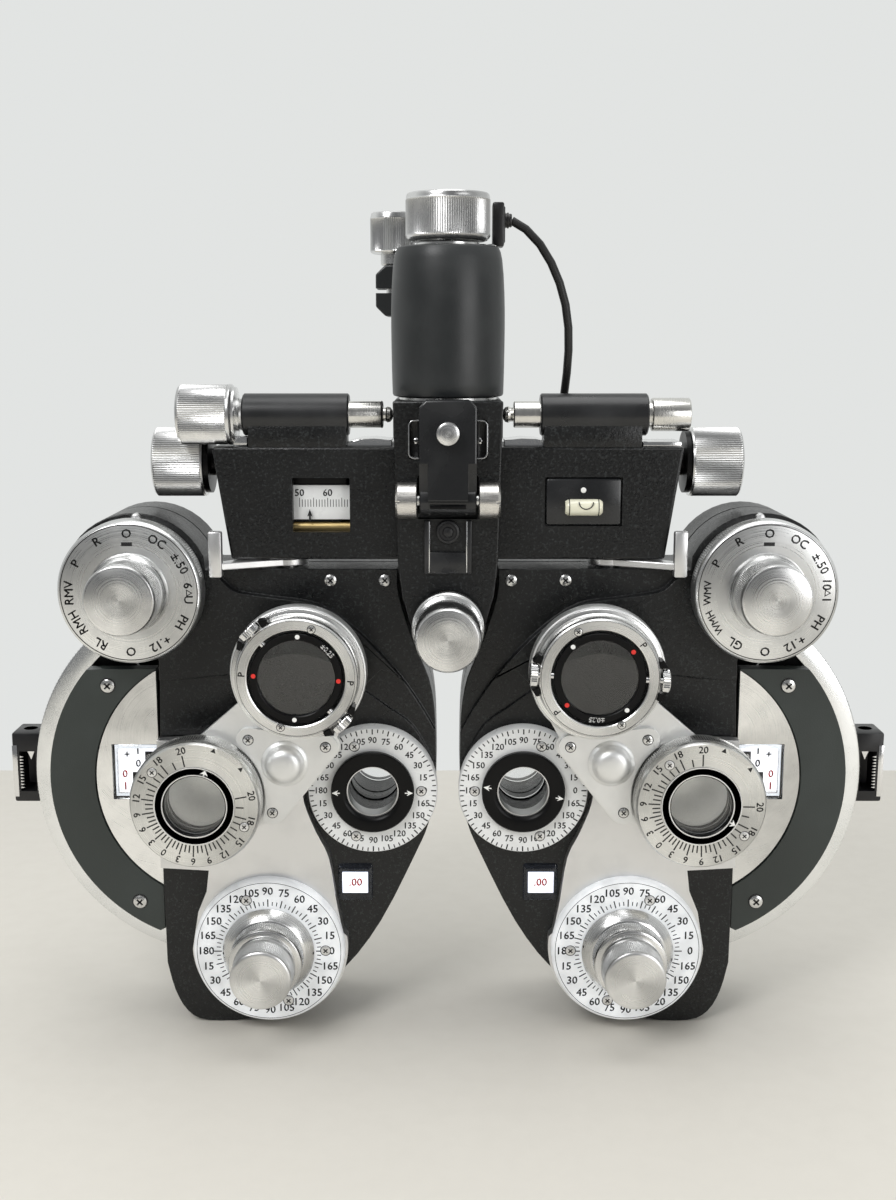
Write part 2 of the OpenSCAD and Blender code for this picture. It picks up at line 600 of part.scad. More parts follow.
module jcc_cell(flip) at(jcc) {
  difference() {
    turned_y(jcc_y + 1.5, [[0, 0], [jcc_cell_r - 0.3, 0], [jcc_cell_r, 0.3], [jcc_cell_r, 2.7],
      [jcc_cell_r - 0.3, 3], [0, 3]]);
    rod_y(13.2, -30, 0);
  }
  rotate([0, -flip, 0]) translate([0, jcc_y, 0]) for (s = [-1, 1]) {
    rod_x(1.2, s < 0 ? -21.4 : 14, s < 0 ? -14 : 21.4);
    translate([s * 22.4, 0, 0]) rod_x(3.1, -1.3, 1.3);
  }
  rod_y(13.3, jcc_y - 0.9, jcc_y + 0.9);
}
module left_jcc_cell() color("black") at_front() side(false) jcc_cell(jcc_flip[0]);
module right_jcc_cell() color("black") at_front() side(true) jcc_cell(jcc_flip[1]);

module prism_ring() at(prism) difference() {
  turned_y(-16.9, [[0, 0], [prism_r - 0.6, 0], [prism_r, 0.7], [prism_r, 8], [prism_r - 0.6, 9.6],
    [prism_r - 1, 10.2], [0, 10.2]]);
  rod_y(14 + run, -28, -16);
}
module left_prism_ring() color("silver") at_front() side(false) prism_ring();
module right_prism_ring() color("silver") at_front() side(true) prism_ring();

// Cornea gauge: sighting box on a bracket behind the weak sphere dial.
module cornea_gauge() difference() {
  union() {
    block([-164.4, 20, -190.2], [-153.4, 34, -163.2]);
    block([-154, 24, -185], [-104.9, 27.4, -168]);
  }
  block([-162, 19, -186], [-155, 30, -167.4]);
}
module left_cornea_gauge() color("black") at_front() side(false) cornea_gauge();
module right_cornea_gauge() color("black") at_front() side(true) cornea_gauge();

// ---- drawing --------------------------------------------------------------

clamp_block();
stem_sleeve();
clamp_knob();
rotation_knob();
stem_spindle();
cable_connector();
lamp_cable();
yoke_plate();
rod_holder();
rod_clamp_screw();
forehead_knob();
forehead_rest();
bar_housing();
guide_rod();
pd_scale();
spirit_level();
level_knob();
level_rod();
spring_plunger();
pd_screw();
left_carriage();
left_vergence_lever();
left_case_front();
left_case_back();
left_side_cover();
left_sphere_bezel();
left_cylinder_cover();
left_aux_dial();
left_strong_knob();
left_weak_dial();
left_axis_dial();
left_axis_ring();
left_axis_scale();
left_axis_knob();
left_power_knob();
left_turret_arm();
left_jcc_ring();
left_jcc_cell();
left_prism_ring();
left_cornea_gauge();
right_carriage();
right_vergence_lever();
right_case_front();
right_case_back();
right_side_cover();
right_sphere_bezel();
right_cylinder_cover();
right_aux_dial();
right_strong_knob();
right_weak_dial();
right_axis_dial();
right_axis_ring();
right_axis_scale();
right_axis_knob();
right_power_knob();
right_turret_arm();
right_jcc_ring();
right_jcc_cell();
right_prism_ring();
right_cornea_gauge();
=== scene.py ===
"""Looks of a manual phoropter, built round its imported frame.

Each sub-assembly is a class that reads its places from the frame, models its
pieces with Blender's own operators and dresses them in procedural finishes.
"""

import json
import logging
import math
from dataclasses import dataclass, field
from enum import Enum
from typing import ClassVar, Iterable, Sequence

import bpy
from mathutils import Matrix, Vector


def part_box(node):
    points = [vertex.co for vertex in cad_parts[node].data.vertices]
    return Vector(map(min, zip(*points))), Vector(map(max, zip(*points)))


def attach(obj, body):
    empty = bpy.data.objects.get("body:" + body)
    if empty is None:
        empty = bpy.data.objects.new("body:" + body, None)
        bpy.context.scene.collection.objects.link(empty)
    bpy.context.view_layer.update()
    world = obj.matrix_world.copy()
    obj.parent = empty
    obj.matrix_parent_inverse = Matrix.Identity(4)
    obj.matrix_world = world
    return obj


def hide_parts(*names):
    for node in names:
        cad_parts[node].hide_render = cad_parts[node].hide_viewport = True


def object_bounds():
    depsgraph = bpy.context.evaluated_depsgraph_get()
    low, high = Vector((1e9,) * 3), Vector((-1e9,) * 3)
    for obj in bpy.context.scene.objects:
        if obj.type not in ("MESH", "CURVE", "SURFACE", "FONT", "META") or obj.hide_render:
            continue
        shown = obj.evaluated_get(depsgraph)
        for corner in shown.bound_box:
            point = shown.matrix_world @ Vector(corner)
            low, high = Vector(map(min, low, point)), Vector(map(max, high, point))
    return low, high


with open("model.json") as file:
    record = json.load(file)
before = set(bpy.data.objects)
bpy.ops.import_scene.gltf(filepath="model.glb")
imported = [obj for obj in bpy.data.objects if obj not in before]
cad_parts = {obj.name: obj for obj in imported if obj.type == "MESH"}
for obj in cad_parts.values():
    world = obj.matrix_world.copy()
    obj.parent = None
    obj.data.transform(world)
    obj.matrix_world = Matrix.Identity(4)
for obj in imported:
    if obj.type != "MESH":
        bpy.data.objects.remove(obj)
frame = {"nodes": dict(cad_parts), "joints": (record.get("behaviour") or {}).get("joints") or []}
CAD_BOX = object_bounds()
LOG = logging.getLogger("phoropter")
MM = 0.001
ORIGIN = Vector((0, 0, 0))
Point = tuple[float, float]
Colour = tuple[float, float, float]


# ---------------------------------------------------------------- shader maths

class Signal:
    """One output socket; arithmetic on it adds Math nodes."""

    def __init__(self, graph: "Graph", socket: bpy.types.NodeSocket) -> None:
        """Wraps a socket of a graph."""
        self.graph = graph
        self.socket = socket

    def _join(self, operation: str, first: "Signal | float", second: "Signal | float" = 0.0) -> "Signal":
        """Adds one Math node."""
        return self.graph.node("ShaderNodeMath", {"operation": operation}, {0: first, 1: second})

    def __add__(self, other: "Signal | float") -> "Signal":
        """Sum."""
        return self._join("ADD", self, other)

    __radd__ = __add__

    def __sub__(self, other: "Signal | float") -> "Signal":
        """Difference."""
        return self._join("SUBTRACT", self, other)

    def __rsub__(self, other: float) -> "Signal":
        """Difference from a number."""
        return self._join("SUBTRACT", other, self)

    def __mul__(self, other: "Signal | float") -> "Signal":
        """Product."""
        return self._join("MULTIPLY", self, other)

    __rmul__ = __mul__

    def __truediv__(self, other: "Signal | float") -> "Signal":
        """Quotient."""
        return self._join("DIVIDE", self, other)

    def sine(self) -> "Signal":
        """Sine of the value in radians."""
        return self._join("SINE", self)

    def span(self, low: float, high: float, to_low: float = 0.0, to_high: float = 1.0) -> "Signal":
        """Maps a range of values to another, clamped.

        Args:
            low: value that becomes to_low.
            high: value that becomes to_high.
            to_low: result at low.
            to_high: result at high.

        Returns:
            The mapped signal.
        """
        return self.graph.node("ShaderNodeMapRange", {"clamp": True}, {"Value": self, "From Min": low,
            "From Max": high, "To Min": to_low, "To Max": to_high})


class Graph:
    """Nodes of a material or world, round its one shader."""

    def __init__(self, tree: bpy.types.NodeTree, shader: str = "Principled BSDF") -> None:
        """Wraps a node tree and the shader in it."""
        self.tree = tree
        self.shader = tree.nodes[shader]

    def node(self, kind: str, settings: dict, inputs: dict, output: str | int = 0) -> Signal:
        """Makes one node.

        Args:
            kind: the node's type.
            settings: its own settings, set first; stops are a ramp's.
            inputs: value or Signal for each input, by name or number.
            output: name or number of the output that is wanted.

        Returns:
            The output, as a Signal.
        """
        made = self.tree.nodes.new(kind)
        for key, value in settings.items():
            if key == "stops":
                self._stops(made.color_ramp, value)
            else:
                setattr(made, key, value)
        for key, value in inputs.items():
            if isinstance(value, Signal):
                self.tree.links.new(value.socket, made.inputs[key])
            else:
                made.inputs[key].default_value = value
        return Signal(self, made.outputs[output])

    @staticmethod
    def _stops(ramp: bpy.types.ColorRamp, stops: Sequence[tuple[float, Colour]]) -> None:
        """Sets a colour ramp's stops."""
        while len(ramp.elements) < len(stops):
            ramp.elements.new(0.5)
        for element, (place, colour) in zip(ramp.elements, stops):
            element.position = place
            element.color = (*colour, 1.0)

    def place(self, centre: Sequence[float] = (0, 0, 0), scale: Sequence[float] = (1, 1, 1)) -> Signal:
        """Object coordinates, measured from a centre and scaled along each axis."""
        raw = self.node("ShaderNodeTexCoord", {}, {}, "Object")
        shifted = self.node("ShaderNodeVectorMath", {"operation": "SUBTRACT"}, {0: raw, 1: tuple(centre)})
        return self.node("ShaderNodeVectorMath", {"operation": "MULTIPLY"}, {0: shifted, 1: tuple(scale)})

    def length(self, vector: Signal) -> Signal:
        """Length of a vector."""
        return self.node("ShaderNodeVectorMath", {"operation": "LENGTH"}, {0: vector}, "Value")

    def noise(self, where: Signal, size: float, detail: float = 2.0) -> Signal:
        """Soft noise whose blotches are about size metres across."""
        return self.node("ShaderNodeTexNoise", {}, {"Vector": where, "Scale": 1 / size, "Detail": detail})

    def cells(self, where: Signal, size: float) -> Signal:
        """Distance to the nearest of scattered points, about size metres apart."""
        return self.node("ShaderNodeTexVoronoi", {"feature": "F1"}, {"Vector": where, "Scale": 1 / size})

    def blend(self, share: Signal, first: Colour, second: Colour) -> Signal:
        """Mixes two colours."""
        return self.node("ShaderNodeMix", {"data_type": "RGBA"}, {"Factor": share, 6: (*first, 1.0),
            7: (*second, 1.0)}, 2)

    def bump(self, height: Signal, depth: float, strength: float = 1.0) -> Signal:
        """Bump of a height from 0 to 1 that is depth metres deep."""
        return self.node("ShaderNodeBump", {}, {"Height": height, "Distance": depth, "Strength": strength})

    def set(self, **sockets: "Signal | float | Colour") -> None:
        """Sets or links the shader's sockets; an underscore stands for a space."""
        for key, value in sockets.items():
            socket = self.shader.inputs[key.replace("_", " ")]
            if isinstance(value, Signal):
                self.tree.links.new(value.socket, socket)
            elif isinstance(value, tuple):
                socket.default_value = (*value, 1.0) if len(value) == 3 else value
            else:
                socket.default_value = value


# -------------------------------------------------------------------- finishes

class Turning(Enum):
    """Axis that a turned pattern runs round: which coordinates its radius counts."""

    ALONG_X = (0, 1, 1)
    ALONG_Y = (1, 0, 1)
    ALONG_Z = (1, 1, 0)


@dataclass(frozen=True)
class Finish:
    """A surface finish; its material is made when it is first worn."""

    slot: str
    _made: ClassVar[dict["Finish", bpy.types.Material]] = {}

    def paint(self, graph: Graph) -> None:
        """Builds the finish's nodes."""

    def material(self) -> bpy.types.Material:
        """The finish's material."""
        if self not in Finish._made:
            material = bpy.data.materials.new(f"{type(self).__name__}_{len(Finish._made)}")
            material.use_nodes = True
            self.paint(Graph(material.node_tree))
            Finish._made[self] = material
        return Finish._made[self]

    def dress(self, piece: bpy.types.Object) -> bpy.types.Object:
        """Puts the finish on all of a piece."""
        piece.data.materials.clear()
        piece.data.materials.append(self.material())
        return piece


@dataclass(frozen=True)
class CrinklePaint(Finish):
    """Glossy enamel with a raised crinkle and paler flecks on its peaks."""

    slot: str = "crinkle_black"
    base: Colour = (0.0045, 0.0048, 0.0052)
    fleck: Colour = (0.03, 0.034, 0.035)
    grain: float = 1.3 * MM
    relief: float = 0.22 * MM

    def paint(self, graph: Graph) -> None:
        """Crinkle from two sizes of noise, broken by fine cells."""
        where = graph.place()
        coarse = graph.noise(where, self.grain, 3.0)
        fine = graph.noise(where, self.grain * 0.34, 2.0)
        pits = graph.cells(where, self.grain * 0.6)
        height = coarse * 0.55 + fine * 0.3 + pits * 0.25
        rub = graph.noise(where, 26 * MM, 3.0)
        flecks = height.span(0.6, 0.68)
        graph.set(Base_Color=graph.blend(flecks * 0.6, self.base, self.fleck), Roughness=height.span(0.35,
            0.7, 0.22, 0.38) + rub.span(0.4, 0.7, 0.0, 0.1), Normal=graph.bump(height, self.relief, 0.8),
            Specular_IOR_Level=0.42)


@dataclass(frozen=True)
class SatinPaint(Finish):
    """Satin enamel over a fine sand texture."""

    slot: str = "satin_black"
    base: Colour = (0.012, 0.0125, 0.0135)
    worn: Colour = (0.035, 0.036, 0.038)
    grain: float = 0.45 * MM
    relief: float = 0.025 * MM
    rough: float = 0.38
    gloss: float = 0.5

    def paint(self, graph: Graph) -> None:
        """Sand texture with broad, faint rubbing."""
        where = graph.place()
        sand = graph.noise(where, self.grain, 2.0)
        broad = graph.noise(where, 18 * MM, 4.0)
        graph.set(Base_Color=graph.blend(broad.span(0.45, 0.75) * 0.55, self.base, self.worn),
            Roughness=broad.span(0.3, 0.7, self.rough - 0.05, self.rough + 0.09), Normal=graph.bump(sand,
            self.relief, 0.8), Specular_IOR_Level=self.gloss)


@dataclass(frozen=True)
class TurnedMetal(Finish):
    """Lathe-turned aluminium: fine rings about the piece's own axis."""

    slot: str = "turned_aluminium"
    centre: tuple[float, float, float] = (0.0, 0.0, 0.0)
    turning: Turning = Turning.ALONG_Y
    pitch: float = 0.32 * MM
    colour: Colour = (0.83, 0.83, 0.825)
    rough: float = 0.24
    # Direction of the painted highlight wedges in the base colour.
    sheen: tuple[float, float, float] = (0.5, 0.5, 0.7)

    def paint(self, graph: Graph) -> None:
        """Rings in the bump and roughness, painted highlight wedges in the base colour, and soft handling
        marks.
        """
        flat = graph.place(self.centre, self.turning.value)
        radius = graph.length(flat)
        waver = graph.noise(graph.place(), 3 * MM) * (0.15 * MM)
        rings = ((radius + waver) * (2 * math.pi / self.pitch)).sine() * 0.5 + 0.5
        bands = graph.node("ShaderNodeTexNoise", {"noise_dimensions": "1D"},
            {"W": radius, "Scale": 1 / (0.5 * MM), "Detail": 4.0})
        smear = graph.noise(graph.place(), 7 * MM, 3.0)
        # Painted highlight and shade: the base colour stays bright in two opposed wedges along a fixed
        # direction and darkens across it, like a lit turned face; the smear adds handling marks.
        spoke = graph.node("ShaderNodeVectorMath", {"operation": "NORMALIZE"}, {0: flat})
        painted_highlight_lobe = graph.node("ShaderNodeVectorMath", {"operation": "DOT_PRODUCT"}, {0: spoke, 1: self.sheen},
            "Value")
        shade = (painted_highlight_lobe * painted_highlight_lobe).span(0.05, 0.6, 0.85, 0.0) + smear.span(0.4, 0.75, 0.0, 0.25)
        graph.set(Base_Color=graph.blend(shade, self.colour, tuple(c * 0.62 for c in self.colour)),
            Metallic=1.0, Roughness=bands.span(0.3, 0.7, self.rough - 0.07, self.rough + 0.09)
            + smear.span(0.45, 0.7, 0.0, 0.07), Normal=graph.bump(rings * 0.5 + bands * 0.5, 0.008 * MM,
            0.7))


@dataclass(frozen=True)
class SatinMetal(Finish):
    """Bead-blasted or brushed metal, with grain drawn out along one axis."""

    slot: str = "satin_aluminium"
    colour: Colour = (0.8, 0.8, 0.8)
    stretch: tuple[float, float, float] = (1.0, 1.0, 1.0)
    grain: float = 0.35 * MM
    rough: float = 0.34
    relief: float = 0.006 * MM

    def paint(self, graph: Graph) -> None:
        """Grain in the bump, with smears in the roughness."""
        where = graph.place(scale=self.stretch)
        grain = graph.noise(where, self.grain, 3.0)
        smear = graph.noise(graph.place(), 12 * MM, 4.0)
        graph.set(Base_Color=graph.blend(smear.span(0.42, 0.72) * 0.4, self.colour,
            tuple(c * 0.82 for c in self.colour)), Metallic=1.0, Roughness=grain.span(0.3, 0.7,
            self.rough - 0.05, self.rough + 0.06) + smear.span(0.4, 0.7, 0.0, 0.08),
            Normal=graph.bump(grain, self.relief, 0.7))


@dataclass(frozen=True)
class Moulding(Finish):
    """Plastic, rubber or printed ink: one colour with slight mottling."""

    slot: str = "black_plastic"
    colour: Colour = (0.012, 0.012, 0.012)
    rough: float = 0.45
    grain: float = 0.3 * MM
    relief: float = 0.01 * MM
    coat: float = 0.0
    mottle: float = 0.07

    def paint(self, graph: Graph) -> None:
        """Fine mould grain and faint mottling."""
        where = graph.place()
        grain = graph.noise(where, self.grain, 2.0)
        broad = graph.noise(where, 9 * MM, 3.0)
        graph.set(Base_Color=graph.blend(broad.span(0.4, 0.7), self.colour, tuple(c * (1 - self.mottle)
            for c in self.colour)), Roughness=broad.span(0.3, 0.7, self.rough - 0.05, self.rough + 0.07),
            Normal=graph.bump(grain, self.relief, 0.5), Coat_Weight=self.coat)


@dataclass(frozen=True)
class Glow(Finish):
    """Backlit acrylic: white with a light behind it."""

    slot: str = "window_glow"
    colour: Colour = (0.93, 0.95, 1.0)
    power: float = 0.9

    def paint(self, graph: Graph) -> None:
        """Uneven light from the lamp behind."""
        patch = graph.noise(graph.place(), 6 * MM, 1.0)
        lit = graph.blend(patch.span(0.3, 0.7), self.colour, tuple(c * 0.8 for c in self.colour))
        graph.set(Base_Color=lit, Emission_Color=lit, Emission_Strength=self.power, Roughness=0.3)


@dataclass(frozen=True)
class LensGlass(Finish):
    """Clear or tinted optical glass with a coated surface."""

    slot: str = "lens_glass"
    tint: Colour = (0.97, 0.975, 0.97)
    rough: float = 0.01

    def paint(self, graph: Graph) -> None:
        """Clear glass with a trace of dust in its roughness."""
        dust = graph.noise(graph.place(), 2 * MM, 4.0)
        graph.set(Base_Color=graph.blend(dust.span(0.4, 0.8), self.tint,
            tuple(c * 0.97 for c in self.tint)), Roughness=dust.span(0.55, 0.8, self.rough,
            self.rough + 0.05), Transmission_Weight=1.0, IOR=1.5)


CRINKLE = CrinklePaint()
CASE_PAINT = CrinklePaint(grain=1.15 * MM, relief=0.17 * MM, fleck=(0.034, 0.039, 0.038))
SLEEVE_PAINT = SatinPaint(base=(0.016, 0.018, 0.019), worn=(0.03, 0.033, 0.034))
SMOOTH_BLACK = SatinPaint(grain=1.4 * MM, relief=0.01 * MM, rough=0.22)
GUARD_PAINT = SatinPaint(slot="guard_green", base=(0.03, 0.037, 0.034), worn=(0.044, 0.053, 0.05),
    grain=0.6 * MM, relief=0.06 * MM, rough=0.42)
BLACK_ANODISE = SatinPaint(slot="black_anodised", base=(0.003, 0.003, 0.0033), worn=(0.007, 0.007, 0.007),
    relief=0.006 * MM, rough=0.3, gloss=0.16)
SATIN = SatinMetal()
POLISHED = SatinMetal(slot="polished_steel", colour=(0.78, 0.78, 0.78), rough=0.12, relief=0.002 * MM)
NICKEL = SatinMetal(slot="brushed_nickel", colour=(0.72, 0.7, 0.67), stretch=(0.06, 1, 1), rough=0.26)
STEEL = SatinMetal(slot="polished_steel", colour=(0.7, 0.7, 0.69), rough=0.22)
BRASS = SatinMetal(slot="brass", colour=(0.62, 0.47, 0.22), stretch=(0.08, 1, 1), rough=0.3)
INK = Moulding(slot="black_plastic", colour=(0.006, 0.006, 0.007), rough=0.5, relief=0.002 * MM)
RED_INK = Moulding(slot="dial_white", colour=(0.75, 0.03, 0.02), rough=0.45, relief=0.002 * MM)
WHITE_INK = Moulding(slot="dial_white", colour=(0.9, 0.9, 0.88), rough=0.45, relief=0.002 * MM)
DIAL_WHITE = Moulding(slot="dial_white", colour=(0.86, 0.87, 0.87), rough=0.28, relief=0.003 * MM, coat=0.3)
RUBBER = Moulding(slot="cable_rubber", colour=(0.008, 0.008, 0.008), rough=0.42)
PAD = Moulding(slot="rest_pad", colour=(0.03, 0.031, 0.033), rough=0.55, grain=0.5 * MM, relief=0.03 * MM)
BLACK_PLASTIC = Moulding(colour=(0.008, 0.008, 0.009), rough=0.35)
CLEAR_RIM = LensGlass(slot="clear_plastic", tint=(0.9, 0.93, 0.94), rough=0.08)
GLASS = LensGlass()
GLOW = Glow()
SATIN_BLACK = SatinPaint(grain=0.8 * MM, relief=0.012 * MM, rough=0.3)
SMOKE = LensGlass(slot="clear_plastic", tint=(0.35, 0.42, 0.62), rough=0.04)
VIAL = Moulding(slot="clear_plastic", colour=(0.85, 0.83, 0.66), rough=0.08, coat=0.6)
RIM_METAL = SatinMetal(slot="clear_plastic", colour=(0.86, 0.87, 0.87), rough=0.2)
FROST = SatinMetal(colour=(0.86, 0.865, 0.86), rough=0.42, grain=0.2 * MM, relief=0.004 * MM)
SCALE_WHITE = Glow(slot="dial_white", colour=(0.86, 0.88, 0.9), power=0.25)
TABLE = Moulding(slot="", colour=(0.7, 0.67, 0.61), rough=0.55, grain=2 * MM, mottle=0.015)


# -------------------------------------------------------------- modelling bench

class Axis(Enum):
    """Direction that a turned piece is built along: primitive's turn and unit step."""

    FRONT = ((math.pi / 2, 0, 0), (0, -1, 0))
    BACK = ((-math.pi / 2, 0, 0), (0, 1, 0))
    RIGHT = ((0, math.pi / 2, 0), (1, 0, 0))
    LEFT = ((0, -math.pi / 2, 0), (-1, 0, 0))
    UP = ((0, 0, 0), (0, 0, 1))

    @property
    def turn(self) -> tuple[float, float, float]:
        """Rotation that faces a primitive along the axis."""
        return self.value[0]

    @property
    def step(self) -> Vector:
        """Unit vector along the axis."""
        return Vector(self.value[1])

    def swell(self, factor: float) -> tuple[float, ...]:
        """Scale by a factor across the axis, and not along it."""
        return tuple(1.0 if along else factor for along in self.value[1])

    def turning(self) -> Turning:
        """Pattern axis of a piece turned about this one."""
        return {0: Turning.ALONG_X, 1: Turning.ALONG_Y, 2: Turning.ALONG_Z}[[index
            for index, along in enumerate(self.value[1]) if along][0]]


@dataclass(frozen=True)
class Knurl:
    """Straight knurling: grooves cut between two distances along a turned piece, in millimetres."""

    teeth: int
    start: float
    end: float
    depth: float = 0.3


@dataclass(frozen=True)
class Box:
    """A CAD node's box, in the frame."""

    low: Vector
    high: Vector

    @classmethod
    def of(cls, node: str) -> "Box":
        """The box of a node."""
        low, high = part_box(node)
        return cls(Vector(low), Vector(high))

    @property
    def centre(self) -> Vector:
        """Middle of the box."""
        return (self.low + self.high) / 2

    def front(self) -> Vector:
        """Middle of the face towards the operator."""
        return Vector((self.centre.x, self.low.y, self.centre.z))

    def back(self) -> Vector:
        """Middle of the face towards the patient."""
        return Vector((self.centre.x, self.high.y, self.centre.z))


class Bench:
    """Modelling tools, each a short run of operators as done by hand."""

    @staticmethod
    def clear() -> None:
        """Deselects everything, in object mode."""
        if bpy.context.object and bpy.context.object.mode != "OBJECT":
            bpy.ops.object.mode_set(mode="OBJECT")
        bpy.ops.object.select_all(action="DESELECT")

    @staticmethod
    def hold(*pieces: bpy.types.Object) -> None:
        """Selects only the pieces given; the first is the active one."""
        Bench.clear()
        for piece in pieces:
            piece.select_set(True)
        bpy.context.view_layer.objects.active = pieces[0]

    @staticmethod
    def start(name: str) -> bpy.types.Object:
        """Names a new primitive and bakes its place into its mesh."""
        bpy.ops.object.transform_apply(location=True, rotation=True, scale=True)
        piece = bpy.context.object
        piece.name = piece.data.name = name
        return piece

    @staticmethod
    def settle(piece: bpy.types.Object, angle: float = 32.0) -> bpy.types.Object:
        """Merges doubles, turns faces outwards and smooths across shallow edges."""
        Bench.hold(piece)
        bpy.ops.object.mode_set(mode="EDIT")
        bpy.ops.mesh.select_all(action="SELECT")
        bpy.ops.mesh.remove_doubles(threshold=1e-7)
        bpy.ops.mesh.normals_make_consistent(inside=False)
        bpy.ops.object.mode_set(mode="OBJECT")
        bpy.ops.object.shade_smooth_by_angle(angle=math.radians(angle))
        return piece

    @staticmethod
    def turned(name: str, seat: Vector, axis: Axis, rings: Sequence[Point], sides: int = 72,
            hollow: bool = False, knurl: Knurl | None = None) -> bpy.types.Object:
        """Turns a profile, ring by ring, by extruding and scaling a circle.

        Args:
            name: the piece's name.
            seat: point on the axis that distances are measured from.
            axis: direction that the distances run in.
            rings: (radius, distance) of each ring, in millimetres.
            sides: vertices in each ring.
            hollow: joins the last ring to the first, which leaves a bore.
            knurl: grooves to cut, which set the number of sides.

        Returns:
            The finished piece.
        """
        count = knurl.teeth * 2 if knurl else sides
        rings = mm(rings)
        radius, along = rings[0]
        Bench.clear()
        bpy.ops.mesh.primitive_circle_add(vertices=count, radius=radius, rotation=axis.turn,
            location=seat + axis.step * along)
        piece = Bench.start(name)
        bpy.ops.object.mode_set(mode="EDIT")
        bpy.ops.mesh.select_all(action="SELECT")
        path = rings[1:] + (rings[:1] if hollow else [])
        for next_radius, next_along in path:
            shift = axis.step * (next_along - along)
            bpy.ops.mesh.extrude_region_move(TRANSFORM_OT_translate={"value": shift})
            if abs(next_radius - radius) > 1e-9:
                bpy.ops.transform.resize(value=axis.swell(next_radius / radius), center_override=seat
                    + axis.step * next_along)
            radius, along = next_radius, next_along
        if not hollow:
            bpy.ops.mesh.select_all(action="SELECT")
            bpy.ops.mesh.fill_holes(sides=0)
        bpy.ops.object.mode_set(mode="OBJECT")
        if knurl:
            Bench._groove(piece, seat, axis, knurl, count)
        return Bench.settle(piece)

    @staticmethod
    def _groove(piece: bpy.types.Object, seat: Vector, axis: Axis, knurl: Knurl, count: int) -> None:
        """Draws every other vertex of the knurled stretch in towards the axis."""
        across = [index for index in range(3) if not axis.value[1][index]]
        step = 2 * math.pi / count
        first = piece.data.vertices[0].co - seat
        phase = math.atan2(first[across[1]], first[across[0]])
        reach = 0.0
        for vertex in piece.data.vertices:
            offset = vertex.co - seat
            along = offset.dot(axis.step)
            turn = round((math.atan2(offset[across[1]], offset[across[0]]) - phase) / step) % 2
            vertex.select = bool(turn) and knurl.start * MM - 1e-6 <= along <= knurl.end * MM + 1e-6
            if vertex.select:
                reach = max(reach, math.hypot(offset[across[0]], offset[across[1]]))
        for part in (piece.data.edges, piece.data.polygons):
            part.foreach_set("select", [False] * len(part))
        bpy.ops.object.mode_set(mode="EDIT")
        bpy.ops.mesh.select_mode(type="VERT")
        bpy.ops.transform.resize(value=axis.swell(1 - knurl.depth * MM / reach), center_override=seat)
        bpy.ops.object.mode_set(mode="OBJECT")

    @staticmethod
    def prism(name: str, corners: Sequence[Vector], depth: Vector, bevel: float = 0.0) -> bpy.types.Object:
        """Draws an outline corner by corner, fills it and extrudes it.

        Args:
            name: the piece's name.
            corners: corners of the outline, in order.
            depth: how far and which way it is extruded.
            bevel: width of the edge rounding, or none.

        Returns:
            The finished piece.
        """
        Bench.clear()
        bpy.ops.mesh.primitive_plane_add(size=MM, location=corners[0])
        piece = Bench.start(name)
        bpy.ops.object.mode_set(mode="EDIT")
        bpy.ops.mesh.select_all(action="SELECT")
        bpy.ops.mesh.merge(type="CENTER")
        for corner, following in zip(corners, corners[1:]):
            bpy.ops.mesh.extrude_region_move(TRANSFORM_OT_translate={"value": following - corner})
        bpy.ops.mesh.select_all(action="SELECT")
        bpy.ops.mesh.edge_face_add()
        bpy.ops.mesh.extrude_region_move(TRANSFORM_OT_translate={"value": depth})
        bpy.ops.object.mode_set(mode="OBJECT")
        Bench.settle(piece)
        return Bench.soften(piece, bevel) if bevel else piece

    @staticmethod
    def plate(name: str, outline: Sequence[Point], front: float, back: float,
            bevel: float = 0.0) -> bpy.types.Object:
        """An upright plate: an (x, z) outline in metres, from one y back to another."""
        corners = [Vector((x, front, z)) for x, z in outline]
        return Bench.prism(name, corners, Vector((0, back - front, 0)), bevel)

    @staticmethod
    def slab(name: str, low: Sequence[float], high: Sequence[float],
            bevel: float = 0.3 * MM) -> bpy.types.Object:
        """A block between two corners, with softened edges."""
        low, high = Vector(low), Vector(high)
        Bench.clear()
        bpy.ops.mesh.primitive_cube_add(size=1.0, location=(low + high) / 2,
            scale=[abs(value) for value in high - low])
        return Bench.soften(Bench.start(name), bevel)

    @staticmethod
    def soften(piece: bpy.types.Object, width: float, segments: int = 2,
            angle: float = 38.0) -> bpy.types.Object:
        """Bevels a piece's sharp edges."""
        Bench.hold(piece)
        bpy.ops.object.modifier_add(type="BEVEL")
        bevel = piece.modifiers[-1]
        bevel.width, bevel.segments = width, segments
        bevel.limit_method, bevel.angle_limit = "ANGLE", math.radians(angle)
        bpy.ops.object.modifier_apply(modifier=bevel.name)
        bpy.ops.object.shade_smooth_by_angle(angle=math.radians(24))
        return piece

    @staticmethod
    def carve(piece: bpy.types.Object, tool: bpy.types.Object,
            operation: str = "DIFFERENCE") -> bpy.types.Object:
        """Cuts a piece with a tool, or unites them, and removes the tool."""
        Bench.hold(piece)
        bpy.ops.object.modifier_add(type="BOOLEAN")
        cut = piece.modifiers[-1]
        cut.operation, cut.solver, cut.object = operation, "EXACT", tool
        bpy.ops.object.modifier_apply(modifier=cut.name)
        Bench.hold(tool)
        bpy.ops.object.delete()
        Bench.hold(piece)
        bpy.ops.object.shade_smooth_by_angle(angle=math.radians(24))
        return piece

    @staticmethod
    def join(name: str, pieces: Iterable[bpy.types.Object]) -> bpy.types.Object:
        """Joins pieces into one object."""
        pieces = list(pieces)
        Bench.hold(*pieces)
        if len(pieces) > 1:
            bpy.ops.object.join()
        pieces[0].name = pieces[0].data.name = name
        return pieces[0]

